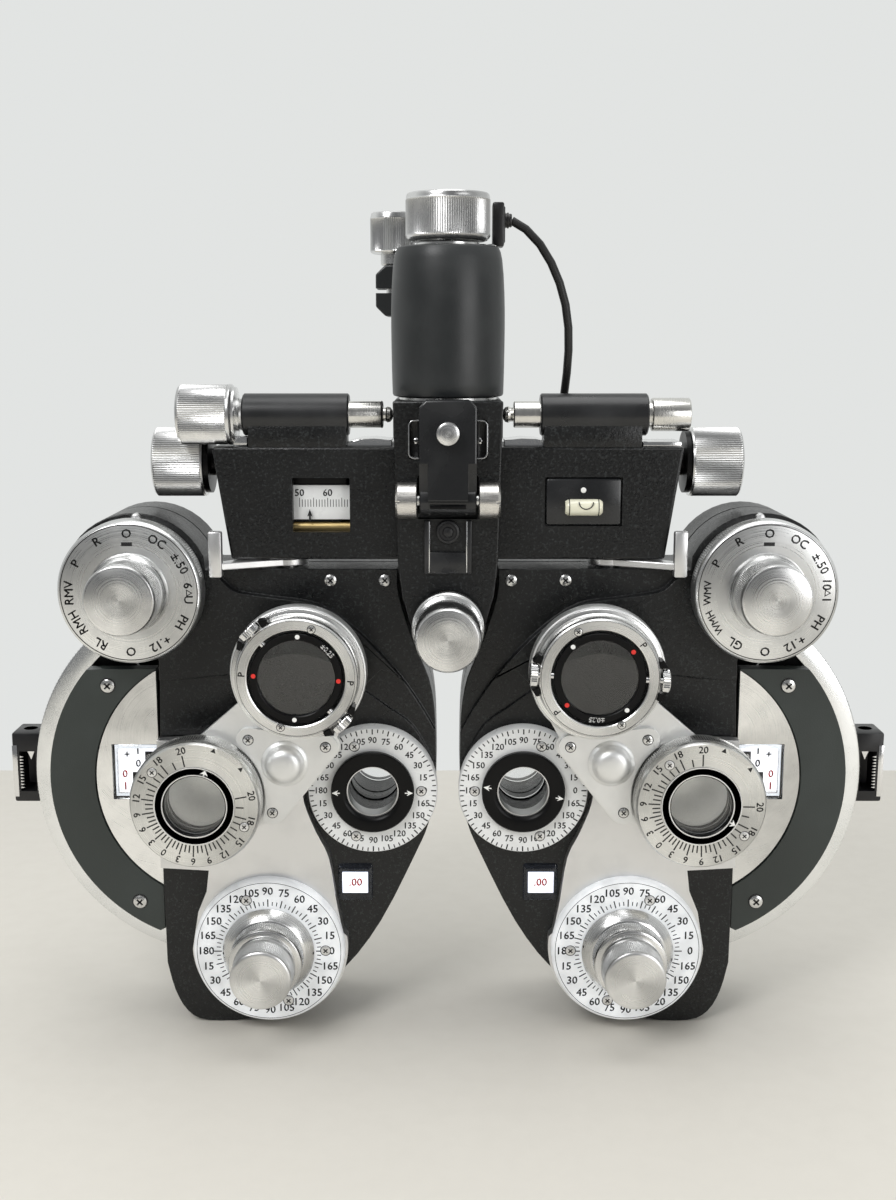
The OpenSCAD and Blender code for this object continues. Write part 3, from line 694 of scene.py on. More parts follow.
    @staticmethod
    def copies(name: str, pattern: bpy.types.Object, moves: Sequence[Matrix]) -> bpy.types.Object:
        """Copies a pattern piece to each place and joins the copies.

        Args:
            name: name of the joined piece.
            pattern: the piece to copy, which is used up.
            moves: a transform for each copy.

        Returns:
            The joined piece.
        """
        made = []
        for move in moves:
            Bench.hold(pattern)
            bpy.ops.object.duplicate()
            copy = bpy.context.object
            copy.matrix_world = move
            bpy.ops.object.transform_apply(location=True, rotation=True, scale=True)
            made.append(copy)
        Bench.hold(pattern)
        bpy.ops.object.delete()
        return Bench.join(name, made)

    @staticmethod
    def ticks(name: str, centre: Vector, inner: float, outer: float, width: float, start: float,
            sweep: float, count: int) -> bpy.types.Object:
        """Engraved lines round a dial, spun from one.

        Args:
            name: the piece's name.
            centre: dial's centre, on the printed face.
            inner: inner radius of the lines, in millimetres.
            outer: outer radius of the lines.
            width: width of one line.
            start: clock angle of the first line, in degrees.
            sweep: angle from the first line to the last, in degrees.
            count: number of lines.

        Returns:
            The lines, as one piece.
        """
        turn = math.radians(start)
        middle = clock(centre, (inner + outer) / 2, start)
        Bench.clear()
        bpy.ops.mesh.primitive_cube_add(size=1.0, location=middle, rotation=(0, turn, 0),
            scale=(width * MM, 0.04 * MM, (outer - inner) * MM))
        piece = Bench.start(name)
        if count > 1:
            bpy.ops.object.mode_set(mode="EDIT")
            bpy.ops.mesh.select_all(action="SELECT")
            bpy.ops.mesh.spin(steps=count - 1, dupli=True, angle=math.radians(sweep), center=centre,
                axis=(0, -1, 0))
            bpy.ops.object.mode_set(mode="OBJECT")
        return piece

    @staticmethod
    def lettering(name: str, labels: Sequence[tuple[str, Vector, float, float]]) -> bpy.types.Object:
        """Figures and letters that stand just proud of a face towards the operator.

        Args:
            name: the piece's name.
            labels: (text, place, height, clock angle in degrees) of each label.

        Returns:
            The labels, as one mesh.
        """
        made = []
        for words, place, height, angle in labels:
            turn = Matrix.Rotation(math.radians(angle), 4, "Y") @ Matrix.Rotation(math.pi / 2, 4, "X")
            for shift in (-0.028, 0.028):
                Bench.clear()
                bpy.ops.object.text_add(location=place + Vector((shift * height, 0, shift * height)),
                    rotation=turn.to_euler())
                text = bpy.context.object
                text.data.body = words
                text.data.size = height * 1.5
                text.data.extrude = 0.02 * MM
                text.data.resolution_u = 2
                text.data.align_x, text.data.align_y = "CENTER", "CENTER"
                made.append(text)
        Bench.hold(*made)
        bpy.ops.object.convert(target="MESH")
        joined = Bench.join(name, made)
        bpy.ops.object.transform_apply(location=True, rotation=True, scale=True)
        return Bench.settle(joined)

    @staticmethod
    def screw(name: str, radius: float, height: float) -> bpy.types.Object:
        """Pattern of a pan-head screw at the origin, facing the operator."""
        return Bench.turned(name, ORIGIN, Axis.FRONT, [(radius * 0.96, -height), (radius, 0.0),
            (radius * 0.93, height * 0.55), (radius * 0.66, height * 0.9), (radius * 0.3, height)],
            sides=24)

    @staticmethod
    def recess(name: str, radius: float, height: float) -> bpy.types.Object:
        """Pattern of the painted shade in that screw's head: a dark cross for its hollow, and a dark line
        round it for the gap at its rim.
        """
        arms = [Bench.turned(name, ORIGIN, Axis.FRONT, [(radius * 1.12, -0.2), (radius * 1.12, 0.03),
            (radius * 0.97, 0.03), (radius * 0.97, -0.2)], sides=24, hollow=True)]
        for turn in (math.pi / 4, -math.pi / 4):
            Bench.clear()
            bpy.ops.mesh.primitive_cube_add(size=1.0, location=(0, -height * 0.9 * MM, 0),
                rotation=(0, turn, 0), scale=(radius * 0.26 * MM, height * 0.3 * MM, radius * 1.1 * MM))
            arms.append(Bench.start(name))
        return Bench.join(name, arms)


def clock(centre: Vector, radius: float, angle: float) -> Vector:
    """Point at a radius in millimetres and a clock angle in degrees, round a centre in the upright plane."""
    turn = math.radians(angle)
    return centre + Vector((math.sin(turn) * radius * MM, 0, math.cos(turn) * radius * MM))


def level(point: Vector, y: float) -> Vector:
    """The point straight before or behind another, some millimetres behind the lens cases' front."""
    return Vector((point.x, FACE + y * MM, point.z))


def moved(point: Vector, back: float) -> Vector:
    """A point taken some millimetres back."""
    return Vector((point.x, point.y + back * MM, point.z))


def arc(centre: Point, radius: float, start: float, end: float, steps: int) -> list[Point]:
    """Points of an arc, from angle to angle in degrees, anticlockwise from +X."""
    turns = [math.radians(start + (end - start) * index / steps) for index in range(steps + 1)]
    return [(centre[0] + radius * math.cos(turn), centre[1] + radius * math.sin(turn)) for turn in turns]


def smooth(points: Sequence[Point], steps: int) -> list[Point]:
    """Open smooth curve through points, with some steps in each span."""
    def blend(a: float, b: float, c: float, d: float, t: float) -> float:
        """Catmull-Rom blend of one coordinate."""
        return 0.5 * (2 * b + (c - a) * t + (2 * a - 5 * b + 4 * c - d) * t * t
            + (3 * b - a - 3 * c + d) * t ** 3)

    last = len(points) - 1
    curve = []
    for index in range(last):
        a, b, c, d = (points[max(index - 1, 0)], points[index], points[index + 1],
            points[min(index + 2, last)])
        curve += [tuple(blend(a[k], b[k], c[k], d[k], step / steps) for k in (0, 1)) for step in range(steps)]
    return curve + [tuple(points[last])]


def fit(piece: bpy.types.Object, body: str, finish: Finish, *nodes: str) -> bpy.types.Object:
    """Dresses a piece, rides it on a body and lets it stand for CAD nodes.

    Args:
        piece: the piece.
        body: the body that it moves with.
        finish: its finish.
        nodes: CAD nodes that it replaces.

    Returns:
        The piece.
    """
    finish.dress(piece)
    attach(piece, body)
    if nodes:
        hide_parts(*nodes)
    LOG.info("%s rides on %s, %d faces", piece.name, body, len(piece.data.polygons))
    return piece


def screws(name: str, radius: float, height: float, places: Sequence[Vector], body: str, finish: Finish,
        turn: float = 0.0) -> None:
    """Fits cross-head screws, turned about the upright axis, with painted shade for the hollows in their
    heads and the gaps round them.
    """
    moves = [Matrix.Translation(place) @ Matrix.Rotation(turn, 4, "Z") for place in places]
    fit(Bench.copies(name, Bench.screw(name, radius, height), moves), body, finish)
    # Painted shade: a dark cross and ring in ink stand in for the shaded hollow and rim gap of each head.
    fit(Bench.copies(f"{name}_cross", Bench.recess(name, radius, height), moves), body, INK)


FACE = Box.of("left_weak_dial").low.y - 9 * MM


def spot(x: float, y: float, z: float) -> Vector:
    """Point from millimetres: x and z from the arm clamp's bore, y from the lens cases' front."""
    return Vector((x * MM, FACE + y * MM, z * MM))


def mm(pairs: Iterable[Point], flip: float = 1.0) -> list[Point]:
    """Millimetre pairs in metres, the first of each mirrored where flip is -1."""
    return [(first * flip * MM, second * MM) for first, second in pairs]


def block(name: str, low: Sequence[float], high: Sequence[float], bevel: float = 0.5,
        flip: float = 1.0) -> bpy.types.Object:
    """A softened block between two corners in millimetres, as for spot()."""
    first, second = spot(low[0] * flip, low[1], low[2]), spot(high[0] * flip, high[1], high[2])
    return Bench.slab(name, [min(a, b) for a, b in zip(first, second)],
        [max(a, b) for a, b in zip(first, second)], bevel * MM)


def panel(name: str, outline: Sequence[Point], front: float, back: float, bevel: float = 0.0,
        flip: float = 1.0) -> bpy.types.Object:
    """An upright plate from millimetres, as for spot()."""
    return Bench.plate(name, mm(outline, flip), FACE + front * MM, FACE + back * MM, bevel * MM)


def bored(piece: bpy.types.Object, centre: Vector, radius: float, sides: int = 96) -> bpy.types.Object:
    """Bores a hole of a radius in millimetres right through a piece, front to back."""
    drill = Bench.turned("drill", Vector((centre.x, FACE, centre.z)), Axis.BACK,
        [(radius, -60), (radius, 80)], sides)
    return Bench.carve(piece, drill)


@dataclass
class LampCable:
    """Lamp cable, which leaves the connector beside the stem and goes back into the yoke."""

    route: Sequence[tuple[float, float, float]] = ((22.5, 21, 23.6), (27.5, 20.5, 20.6), (32.5, 20, 15.4),
        (36.5, 19.5, 9), (39.6, 19.5, 2), (41.8, 19.8, -5.5), (43, 20.5, -13.5), (43.3, 22, -21.5),
        (43, 24.2, -29.5), (42.4, 27, -37), (41.4, 30.5, -44), (39.8, 34.2, -50), (37, 37.6, -55),
        (33, 40, -59), (28.5, 41.3, -62), (23.5, 41.6, -63.7), (18.5, 41.6, -64))
    radius: float = 1.5 * MM

    def build(self) -> None:
        """Lays the cable along its route as a round curve."""
        points = [spot(*place) for place in self.route]
        Bench.clear()
        bpy.ops.curve.primitive_nurbs_path_add(location=(0, 0, 0))
        cable = bpy.context.object
        cable.name = "lamp_cable_jacket"
        curve = cable.data
        curve.splines.clear()
        line = curve.splines.new("POLY")
        line.points.add(len(points) - 1)
        for knot, point in zip(line.points, points):
            knot.co = (*point, 1.0)
        curve.bevel_depth, curve.bevel_resolution, curve.use_fill_caps = self.radius, 6, True
        RUBBER.dress(cable)
        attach(cable, "yoke")
        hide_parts("lamp_cable")


@dataclass
class Stem:
    """Arm clamp and sleeve, with the knobs on them."""

    sleeve: Box = field(default_factory=lambda: Box.of("stem_sleeve"))
    clamp_knob: Box = field(default_factory=lambda: Box.of("clamp_knob"))
    turning_knob: Box = field(default_factory=lambda: Box.of("rotation_knob"))

    def build(self) -> None:
        """Builds clamp, sleeve and both knobs."""
        self._clamp()
        self._sleeve()
        self._knobs()
        self._connector()

    def _clamp(self) -> None:
        """Split collar for the arm, with its ears."""
        collar = Bench.turned("arm_collar", ORIGIN, Axis.BACK, [(13.1, -14), (13.5, -13.4), (13.5, 13.3),
            (12.9, 14), (8.7, 14), (7.96, 13.2), (7.96, -14)], 96, hollow=True)
        ears = Bench.prism("clamp_ears", [Vector((x * MM, -14 * MM, z * MM)) for x, z in ((-9, -9.2),
            (-23, -9.2), (-26.5, -5.8), (-26.5, 5.8), (-23, 9.2), (-9, 9.2))], Vector((0, 20 * MM, 0)),
            0.6 * MM)
        Bench.carve(ears, Bench.slab("slit", (-0.028, -0.016, -0.0009), (-0.008, 0.008, 0.0009), 0.01 * MM))
        foot = Bench.slab("clamp_foot", (-0.0135, -0.016, -0.0135), (0.0135, -0.0138, 0.0135), 0.4 * MM)
        fit(collar, "mount", SLEEVE_PAINT, "clamp_block")
        fit(ears, "mount", SLEEVE_PAINT)
        fit(foot, "mount", SLEEVE_PAINT)

    def _sleeve(self) -> None:
        """Swelling sleeve that the head turns in."""
        base = spot(0, 13, 0)
        base.z = self.sleeve.low.z
        sleeve = Bench.turned("sleeve_shell", base, Axis.UP, [(18.6, 0), (19.25, 0.25), (19.6, 0.9),
            (19.72, 5), (19.84, 10), (19.93, 17), (19.99, 24), (19.95, 30), (19.78, 36), (19.45, 42),
            (18.95, 47), (18.4, 49.6), (17.8, 50.9), (17, 51.4), (14, 51.5), (12.05, 51.4), (12.05, 0)],
            128, hollow=True)
        pad = block("sleeve_back", (-13.5, 20, -13.5), (13.5, 34, 13.5), 1.2)
        fit(sleeve, "mount", SLEEVE_PAINT, "stem_sleeve")
        fit(pad, "mount", SLEEVE_PAINT)
        flange = Bench.turned("spindle_flange", spot(0, 13, -38.5), Axis.UP, [(16.8, 0), (17.2, 0.3),
            (17.2, 0.7), (16.6, 1), (11.9, 1)], 96)
        fit(flange, "yoke", STEEL)

    def _knobs(self) -> None:
        """Rotation lock on top and the arm clamp's knob behind it."""
        seat = Vector((self.turning_knob.centre.x, self.turning_knob.centre.y, self.turning_knob.low.z))
        knob = Bench.turned("rotation_grip", seat, Axis.UP, [(12.6, 0), (13.6, 0.3), (14.5, 1.3),
            (14.75, 1.9), (14.75, 2.5), (14.75, 13.5), (14.75, 14), (14.6, 14.3), (14.6, 14.7),
            (14.35, 15.8), (13.9, 16.2), (12.4, 16.2), (11.9, 15.4), (11.6, 14.6), (6, 14.5), (2, 14.5)],
            knurl=Knurl(112, 2.4, 13.6, 0.32))
        fit(knob, "rotation_knob", TurnedMetal(centre=tuple(seat), turning=Turning.ALONG_Z), "rotation_knob")
        seat = Vector((self.clamp_knob.centre.x, self.clamp_knob.centre.y,
            self.clamp_knob.high.z - 14.9 * MM))
        grip = Bench.turned("clamp_grip", seat, Axis.UP, [(7.1, 0), (8.1, 0.4), (8.3, 0.9), (8.3, 1.3),
            (8.3, 12.2), (8.3, 12.6), (8.2, 13.3), (7.9, 14.5), (7.3, 14.9), (6.1, 14.9), (5.7, 13.8),
            (2, 13.7)], knurl=Knurl(66, 1.2, 12.3, 0.3))
        stud = Bench.turned("clamp_stud", seat, Axis.UP, [(2.1, -20.1), (2.5, -19.6), (2.5, -4.1),
            (4.2, -4.1), (4.5, -3.7), (4.5, 0.4)], 48)
        fit(grip, "clamp_knob", TurnedMetal(centre=tuple(seat), turning=Turning.ALONG_Z), "clamp_knob")
        fit(stud, "clamp_knob", STEEL)

    def _connector(self) -> None:
        """Lamp connector on its strap, and the gland where the cable goes in."""
        strap = Bench.turned("strap_eye", spot(0, 13, 14.4), Axis.UP, [(10.8, 0), (11, 0.2), (11, 0.8),
            (10.8, 1), (5.1, 1), (5.1, 0)], 64, hollow=True)
        tongue = block("strap_tongue", (8, 16.6, 14.45), (17, 23.9, 15.35), 0.2)
        shell = block("connector_shell", (15.6, 16.5, 14.4), (19.7, 25.5, 29.6), 0.7)
        lid = block("connector_lid", (19.0, 17.6, 15.8), (20.1, 24.4, 28.2), 0.4)
        boot = Bench.turned("connector_boot", spot(19.7, 21, 23.6), Axis.RIGHT,
            [(3, 0), (3, 0.5), (2.5, 0.6), (2.5, 1.1), (2.75, 1.2), (2.7, 1.7), (2.3, 1.8), (2.3, 2.2),
            (2.4, 2.3), (2.2, 2.8)], 40)
        gland = Bench.turned("cable_gland", spot(9, 41.6, -64), Axis.RIGHT, [(3.3, 0), (3.6, 0.4),
            (3.6, 5.6), (3.2, 6), (2.7, 6.2), (2.7, 7), (2.45, 7.1), (2.45, 7.9), (2.6, 8), (2.3, 9.5)], 40)
        saddle = block("gland_saddle", (8, 38, -68), (15, 42.6, -60), 0.6)
        fit(strap, "yoke", STEEL, "cable_connector")
        fit(tongue, "yoke", STEEL)
        for piece in (shell, lid, boot, gland, saddle):
            fit(piece, "yoke", BLACK_PLASTIC)


@dataclass
class Yoke:
    """Shield between the batteries, with the hinge of the rod holder."""

    half: Sequence[Point] = ((0, -38.5), (19, -38.5), (18.7, -50), (17.9, -78), (17.4, -95), (16.2, -106),
        (13.6, -115.5), (11.4, -121.5), (8, -126.5), (4, -129.2), (0, -130))

    def build(self) -> None:
        """Builds the shield, block, rear cheek, pockets, hinge barrels and latch."""
        left = [(-x, z) for x, z in reversed(self.half[1:-1])]
        shield = panel("yoke_shield", list(self.half) + left, -6, -0.8, 0.55)
        for flip in (-1, 1):
            Bench.carve(shield, block("pocket", (10.1, -8, -58.4), (13.7, -3, -44.6), 1.1, flip))
        well = block("hinge_well", (-10.6, -8, -79), (10.6, -3.4, -64), 0.6)
        Bench.carve(shield, well)
        fit(shield, "yoke", CRINKLE, "yoke_plate")
        fit(block("yoke_block", (-19, -2.5, -52), (19, 38, -38.5), 0.8), "yoke", CRINKLE)
        cheek = panel("yoke_cheek", [(-17, -52), (17, -52), (13.4, -96), (8, -118), (-8, -118),
            (-13.4, -96)], 34, 38, 0.8)
        fit(cheek, "yoke", CRINKLE)
        core = Bench.turned("forehead_boss", spot(0, -0.8, -116.6), Axis.BACK,
            [(8, 0), (8, 38.8), (7.4, 40.8), (5.1, 40.8), (5.1, 0)], 64, hollow=True)
        pin = Bench.turned("tilt_pin", spot(0, -1, -75), Axis.BACK, [(4.5, 0), (4.5, 35.6), (4.1, 36)], 48)
        fit(core, "yoke", SLEEVE_PAINT)
        fit(pin, "yoke", STEEL)
        for flip in (-1, 1):
            self._pocket(flip)
            self._barrel(flip)
        self._latch()

    def _pocket(self, flip: int) -> None:
        """Bright rim of a pocket, and the screw in it."""
        corner = arc((11.6, -46.9), 2.1, 90, 0, 6) + arc((11.6, -56.1), 2.1, 0, -90, 6)
        inner = arc((11.6, -56.1), 1.65, -90, 0, 6) + arc((11.6, -46.9), 1.65, 0, 90, 6)
        rim = panel("pocket_rim", [(9.9, -44.8)] + corner + [(9.9, -58.2), (9.9, -57.75)] + inner
            + [(9.9, -45.25)], -6.15, -5.6, 0.08, flip)
        fit(rim, "yoke", POLISHED)
        screws("pocket_screw", 1.2, 0.7, [spot(11.1 * flip, -3.1, -52.2)], "yoke", POLISHED)

    def _barrel(self, flip: int) -> None:
        """Nickel barrel of the rod holder's hinge."""
        axis = Axis.RIGHT if flip > 0 else Axis.LEFT
        seat = spot(10.6 * flip, -9, -72.2)
        barrel = Bench.turned("hinge_barrel", seat, axis, [(5.7, 0), (6.2, 0.3), (6.2, 6.6), (6, 6.9),
            (5.6, 7.2), (5.4, 7.4)], 72)
        Bench.carve(barrel, block("key_slot", (16.4, -15.6, -72.7), (18.6, -13.9, -71.7), 0.05, flip))
        fit(barrel, "yoke", NICKEL)
        axle = Bench.turned("hinge_axle", spot(0, -9, -72.2), axis, [(2, -0.2), (2, 10.9)], 32)
        fit(axle, "yoke", STEEL)

    def _latch(self) -> None:
        """Latch under the rod holder, with its button."""
        seat = spot(0, -5, -83.4)
        button = Bench.turned("latch_button", seat, Axis.FRONT, [(4.1, 0), (4.1, 2.2), (3.9, 2.6),
            (3.2, 2.8), (2.9, 2.5), (1.9, 2.5), (1.6, 2.9), (0.6, 3.2)], 48)
        fit(button, "yoke", BLACK_PLASTIC)
        fit(block("latch_bridge", (-6.7, -7.5, -98), (6.7, -5, -90.5), 0.35), "yoke", SMOOTH_BLACK)
        for flip in (-1, 1):
            fit(block("latch_rail", (6.6, -7.6, -98), (8.2, -5, -79.5), 0.3, flip), "yoke", SATIN_BLACK)
            # Painted highlight: thin polished strips stand in for the light caught along the black rails'
            # inner edges.
            fit(block("latch_edge", (6.3, -7.5, -97.6), (6.65, -5.4, -79.7), 0.05, flip), "yoke", POLISHED)


@dataclass
class RodHolder:
    """Flip-up socket for the near point rod, and its clamp screw."""

    screw: Box = field(default_factory=lambda: Box.of("rod_clamp_screw"))

    def build(self) -> None:
        """Builds the socket and the screw."""
        outline = [(-9.8, -72), (9.8, -72), (9.8, -40.2), (7.4, -37.8), (-7.4, -37.8), (-9.8, -40.2)]
        body = panel("rod_socket", outline, -15.4, -6.5, 0.6)
        Bench.carve(body, block("socket", (-4.6, -13.6, -64), (4.6, -8.4, -37), 0.2))
        for flip in (-1, 1):
            Bench.carve(body, block("relief", (6.8, -17, -75), (11, -12.6, -59), 0.3, flip))
        fit(body, "rod_holder", SMOOTH_BLACK, "rod_holder")
        eye = Bench.turned("rod_hinge_eye", spot(-9.8, -9, -72.2), Axis.RIGHT,
            [(4.6, 0), (5, 0.4), (5, 19.2), (4.6, 19.6), (2.05, 19.6), (2.05, 0)], 64, hollow=True)
        fit(eye, "rod_holder", SMOOTH_BLACK)
        lip = block("rod_lip", (-6.2, -14.6, -74.6), (6.2, -11.6, -73.2), 0.3)
        fit(lip, "rod_holder", BLACK_ANODISE)
        seat = self.screw.back()
        seat.y = FACE - 15.7 * MM
        head = Bench.turned("rod_thumbscrew", seat, Axis.FRONT, [(3.3, 0), (3.8, 0.3), (4, 0.7), (4, 3.3),
            (3.8, 3.8), (3.2, 4.1), (1.4, 4.2)], knurl=Knurl(36, 0.7, 3.3, 0.18))
        shank = Bench.turned("rod_screw_shank", seat, Axis.BACK, [(1.7, -0.2), (1.7, 1.9)], 24)
        fit(head, "rod_clamp_screw", TurnedMetal(centre=tuple(seat)), "rod_clamp_screw")
        fit(shank, "rod_clamp_screw", STEEL)


@dataclass
class ForeheadRest:
    """Knob that runs the forehead rest in and out, and the padded rest."""

    knob: Box = field(default_factory=lambda: Box.of("forehead_knob"))

    def build(self) -> None:
        """Builds the knob's collar and grip, and the rest."""
        seat = spot(0, -6.4, -116.6)
        seat.x, seat.z = self.knob.centre.x, self.knob.centre.z
        metal = TurnedMetal(centre=tuple(seat))
        collar = Bench.turned("forehead_collar", seat, Axis.FRONT, [(6.5, 0), (6.5, 1.4), (12.1, 1.6),
            (12.7, 2), (12.8, 2.4), (12.8, 4.6), (12.6, 5), (11.9, 5.6), (11.9, 7), (10.6, 7.8),
            (10.6, 10.2)], knurl=Knurl(108, 2.3, 4.7, 0.3))
        grip = Bench.turned("forehead_grip", seat, Axis.FRONT, [(10.3, 9.8), (10.6, 10.2), (11.2, 10.8),
            (11.3, 11.2), (11.3, 13.6), (11.3, 13.9), (11.25, 24.4), (11.05, 25.4), (10.4, 26.2),
            (9.8, 26.4), (5, 26.35), (1, 26.3)], knurl=Knurl(104, 11.1, 13.7, 0.28))
        fit(collar, "forehead_knob", metal, "forehead_knob")
        fit(grip, "forehead_knob", metal)
        shaft = Bench.turned("forehead_screw", seat, Axis.BACK, [(3, -0.5), (3, 28.4)], 40)
        fit(shaft, "forehead_knob", STEEL)
        self._rest()

    def _rest(self) -> None:
        """Curved rest on its sliding rod."""
        inner = arc((0, 137.8), 90, -113, -67, 24)
        outer = arc((0, 131.8), 90, -66.5, -113.5, 24)
        corners = [spot(x, y, -129.1) for x, y in inner + outer]
        pad = Bench.prism("forehead_pad", corners, Vector((0, 0, 25 * MM)), 1.1 * MM)
        rod = Bench.turned("forehead_rod", spot(0, 2, -116.6), Axis.BACK, [(5, 0), (5, 43), (7.5, 44),
            (9, 44.8), (9, 45.4), (3.05, 45.4), (3.05, 0)], 64, hollow=True)
        fit(pad, "forehead_rest", PAD, "forehead_rest")
        fit(rod, "forehead_rest", STEEL)


@dataclass
class Bar:
    """Levelled bar: housing, tubes, scale window, spirit level, and its knobs."""

    screw: Box = field(default_factory=lambda: Box.of("pd_screw"))
    level_knob: Box = field(default_factory=lambda: Box.of("level_knob"))

    def build(self) -> None:
        """Builds every part of the bar."""
        self._housing()
        self._tubes()
        self._scale()
        self._level()
        self._levelling()
        self._width_knobs()

    def _housing(self) -> None:
        """Tapered housing, with the openings in its front."""
        outline = [(-82.8, -54.7), (82.8, -54.7), (76.8, -94.4), (-76.8, -94.4)]
        housing = panel("bar_shell", outline, 2, 32, 0.9)
        Bench.carve(housing, block("scale_opening", (-54.8, -2, -84.6), (-34.6, 12.5, -65.5), 0.3))
        Bench.carve(housing, block("level_opening", (34.1, -2, -82.5), (61.4, 3.4, -65.2), 0.2))
        fit(housing, "bar", CRINKLE, "bar_housing")
        for flip in (-1, 1):
            inlay = panel("bar_inlay", [(19.8, -54.9), (36, -54.9), (35.6, -53.3), (31, -52.2), (26, -52),
                (19.8, -52.6)], 7, 22, 0.25, flip)
            fit(inlay, "bar", POLISHED)
        fit(block("bar_rest", (-75.5, 5, -55), (-70.5, 13, -51.2), 0.4), "bar", POLISHED)
        fit(block("bar_rest", (68.5, 4, -55), (82, 20, -53), 0.3), "bar", POLISHED)

    def _tubes(self) -> None:
        """Two tubes along the top, on their saddles."""
        for start, end, low, high in ((-72.1, -34.8, -70, -35.6), (32.5, 70.3, 33.6, 68)):
            length = end - start
            tube = Bench.turned("bar_tube", spot(start, 9, -43.7), Axis.RIGHT, [(6.9, 0), (7.4, 0.5),
                (7.4, length - 0.5), (6.9, length), (4.75, length), (4.75, 0)], 96, hollow=True)
            fit(tube, "bar", SATIN_BLACK)
            fit(block("tube_saddle", (low, 2.6, -55.2), (high, 15.4, -47), 0.5), "bar", CRINKLE)

    def _scale(self) -> None:
        """Pupil distance scale, riding the left slider behind its window."""
        strip = block("width_scale", (-58, 6.1, -80.6), (-18, 7.4, -68.4), 0.15)
        fit(strip, "left_slider", DIAL_WHITE, "pd_scale")
        first = spot(-52.7, 6.08, 0)
        marks = []
        for value in range(50, 81):
            across = -52.7 + value - 50
            top = -72.9 if value % 5 == 0 else -73.5
            marks.append(block("mark", (across - 0.11, 6.04, -76.1), (across + 0.11, 6.12, top), 0.01))
        fit(Bench.join("width_marks", marks), "left_slider", INK)
        figures = Bench.lettering("width_figures",
            [(str(value), Vector((first.x + (value - 50) * MM, first.y, -71.2 * MM)), 2.3 * MM, 0)
            for value in (50, 60, 70)])
        fit(figures, "left_slider", INK)
        for side, flip in (("left", 1), ("right", -1)):
            carriage = block("carriage_block", (-62.5, 7.6, -92), (-38, 28.6, -57.8), 0.4, flip)
            for y, z, radius in ((24.4, -61.6, 3), (11, -83.4, 2.8)):
                Bench.carve(carriage, Bench.turned("drill", spot(-70 * flip, y, z), Axis.RIGHT if flip > 0
                    else Axis.LEFT, [(radius, 0), (radius, 45)], 48))
            hanger = Bench.turned("carriage_hanger", spot(-58 * flip, 13, -103.6), Axis.UP,
                [(3.7, 0), (4, 0.3), (4, 8.9), (6, 8.9), (6, 12.6)], 48)
            fit(carriage, f"{side}_slider", BLACK_ANODISE, f"{side}_carriage")
            fit(hanger, f"{side}_slider", STEEL)
        pointer = panel("width_pointer", [(-49.9, -79.4), (-49, -76.8), (-48.1, -79.4), (-48.7, -79.1),
            (-48.7, -81), (-49.3, -81), (-49.3, -79.1)], 4.7, 5.1)
        fit(pointer, "right_slider", INK)
        fit(block("carriage_shadow", (-58, 7.1, -68.6), (-36, 7.6, -60), 0.1), "left_slider", BLACK_ANODISE)
        rod = Bench.turned("carriage_bush", spot(-61, 8.4, -83.6), Axis.RIGHT, [(2.2, 0), (2.2, 26.3)], 48)
        fit(rod, "left_slider", BRASS)

    def _level(self) -> None:
        """Spirit level: plate, vial, bubble and index dot."""
        fit(block("level_plate", (34.5, 1.5, -82.1), (61, 3.6, -65.6), 1.3), "bar", SMOOTH_BLACK,
            "spirit_level")
        vial = Bench.turned("level_vial", spot(41.2, 1.6, -75.8), Axis.RIGHT, [(2.2, 0), (2.85, 0.9),
            (2.95, 2), (2.95, 11.1), (2.85, 12.2), (2.2, 13.1)], 48)
        fit(vial, "bar", VIAL)
        for across in (42.6, 52.9):
            line = Bench.turned("vial_line", spot(across - 0.15, 1.6, -75.8), Axis.RIGHT,
                [(2.99, 0), (2.99, 0.3), (2.7, 0.3), (2.7, 0)], 48, hollow=True)
            fit(line, "bar", INK)
        bubble = panel("level_bubble", arc((48.4, -73.6), 2.7, 180, 360, 20) + arc((48.4, -73.6), 2.35, 360,
            180, 20), -1.5, -1.2)
        fit(bubble, "bar", INK)
        dot = Bench.turned("level_dot", spot(47.6, 1.5, -69.7), Axis.FRONT, [(1.0, -0.2), (0.95, 0.05),
            (0.5, 0.12)], 32)
        fit(dot, "bar", WHITE_INK)

    def _levelling(self) -> None:
        """Levelling knob and rod on the left, spring plunger on the right."""
        seat = spot(-95, 9, -43.7)
        seat.x, seat.y, seat.z = self.level_knob.low.x, self.level_knob.centre.y, self.level_knob.centre.z
        along = TurnedMetal(centre=tuple(seat), turning=Turning.ALONG_X)
        knob = Bench.turned("level_grip", seat, Axis.RIGHT, [(4, 0), (8.9, 0), (10, 0.4), (10.5, 1.2),
            (10.5, 1.7), (10.5, 17.4), (10.5, 17.8), (10.7, 18.3), (10.6, 18.9), (9.8, 19.6), (9.6, 20.4),
            (5.9, 20.8), (5.9, 21.4), (5.4, 21.6), (5.8, 22.6)], knurl=Knurl(84, 1.6, 17.5, 0.28))
        fit(knob, "level_knob", along, "level_knob")
        fit(Bench.turned("level_thread", seat, Axis.RIGHT, [(2.5, 21), (2.5, 37)], 32), "level_knob", STEEL)
        drawn = SatinMetal(slot="turned_aluminium", colour=(0.72, 0.71, 0.68), stretch=(1, 0.05, 0.05),
            rough=0.2)
        rod = Bench.turned("level_rod_bar", spot(-66, 9, -43.7), Axis.RIGHT, [(2.55, 0), (4.4, 0),
            (4.7, 0.4), (4.7, 42.4), (4.4, 42.9), (2.6, 43), (2.4, 43.2), (2.4, 44), (2.8, 44.6),
            (2.6, 45.6), (1.6, 46.4), (0.4, 46.7)], 72)
        fit(rod, "level_rod", drawn, "level_rod")
        band = Bench.turned("rod_end_band", spot(-23.6, 9, -43.7), Axis.RIGHT, [(4.75, 0), (4.75, 0.5),
            (4.3, 0.7), (4.3, 0)], 72, hollow=True)
        fit(band, "level_rod", BLACK_ANODISE)
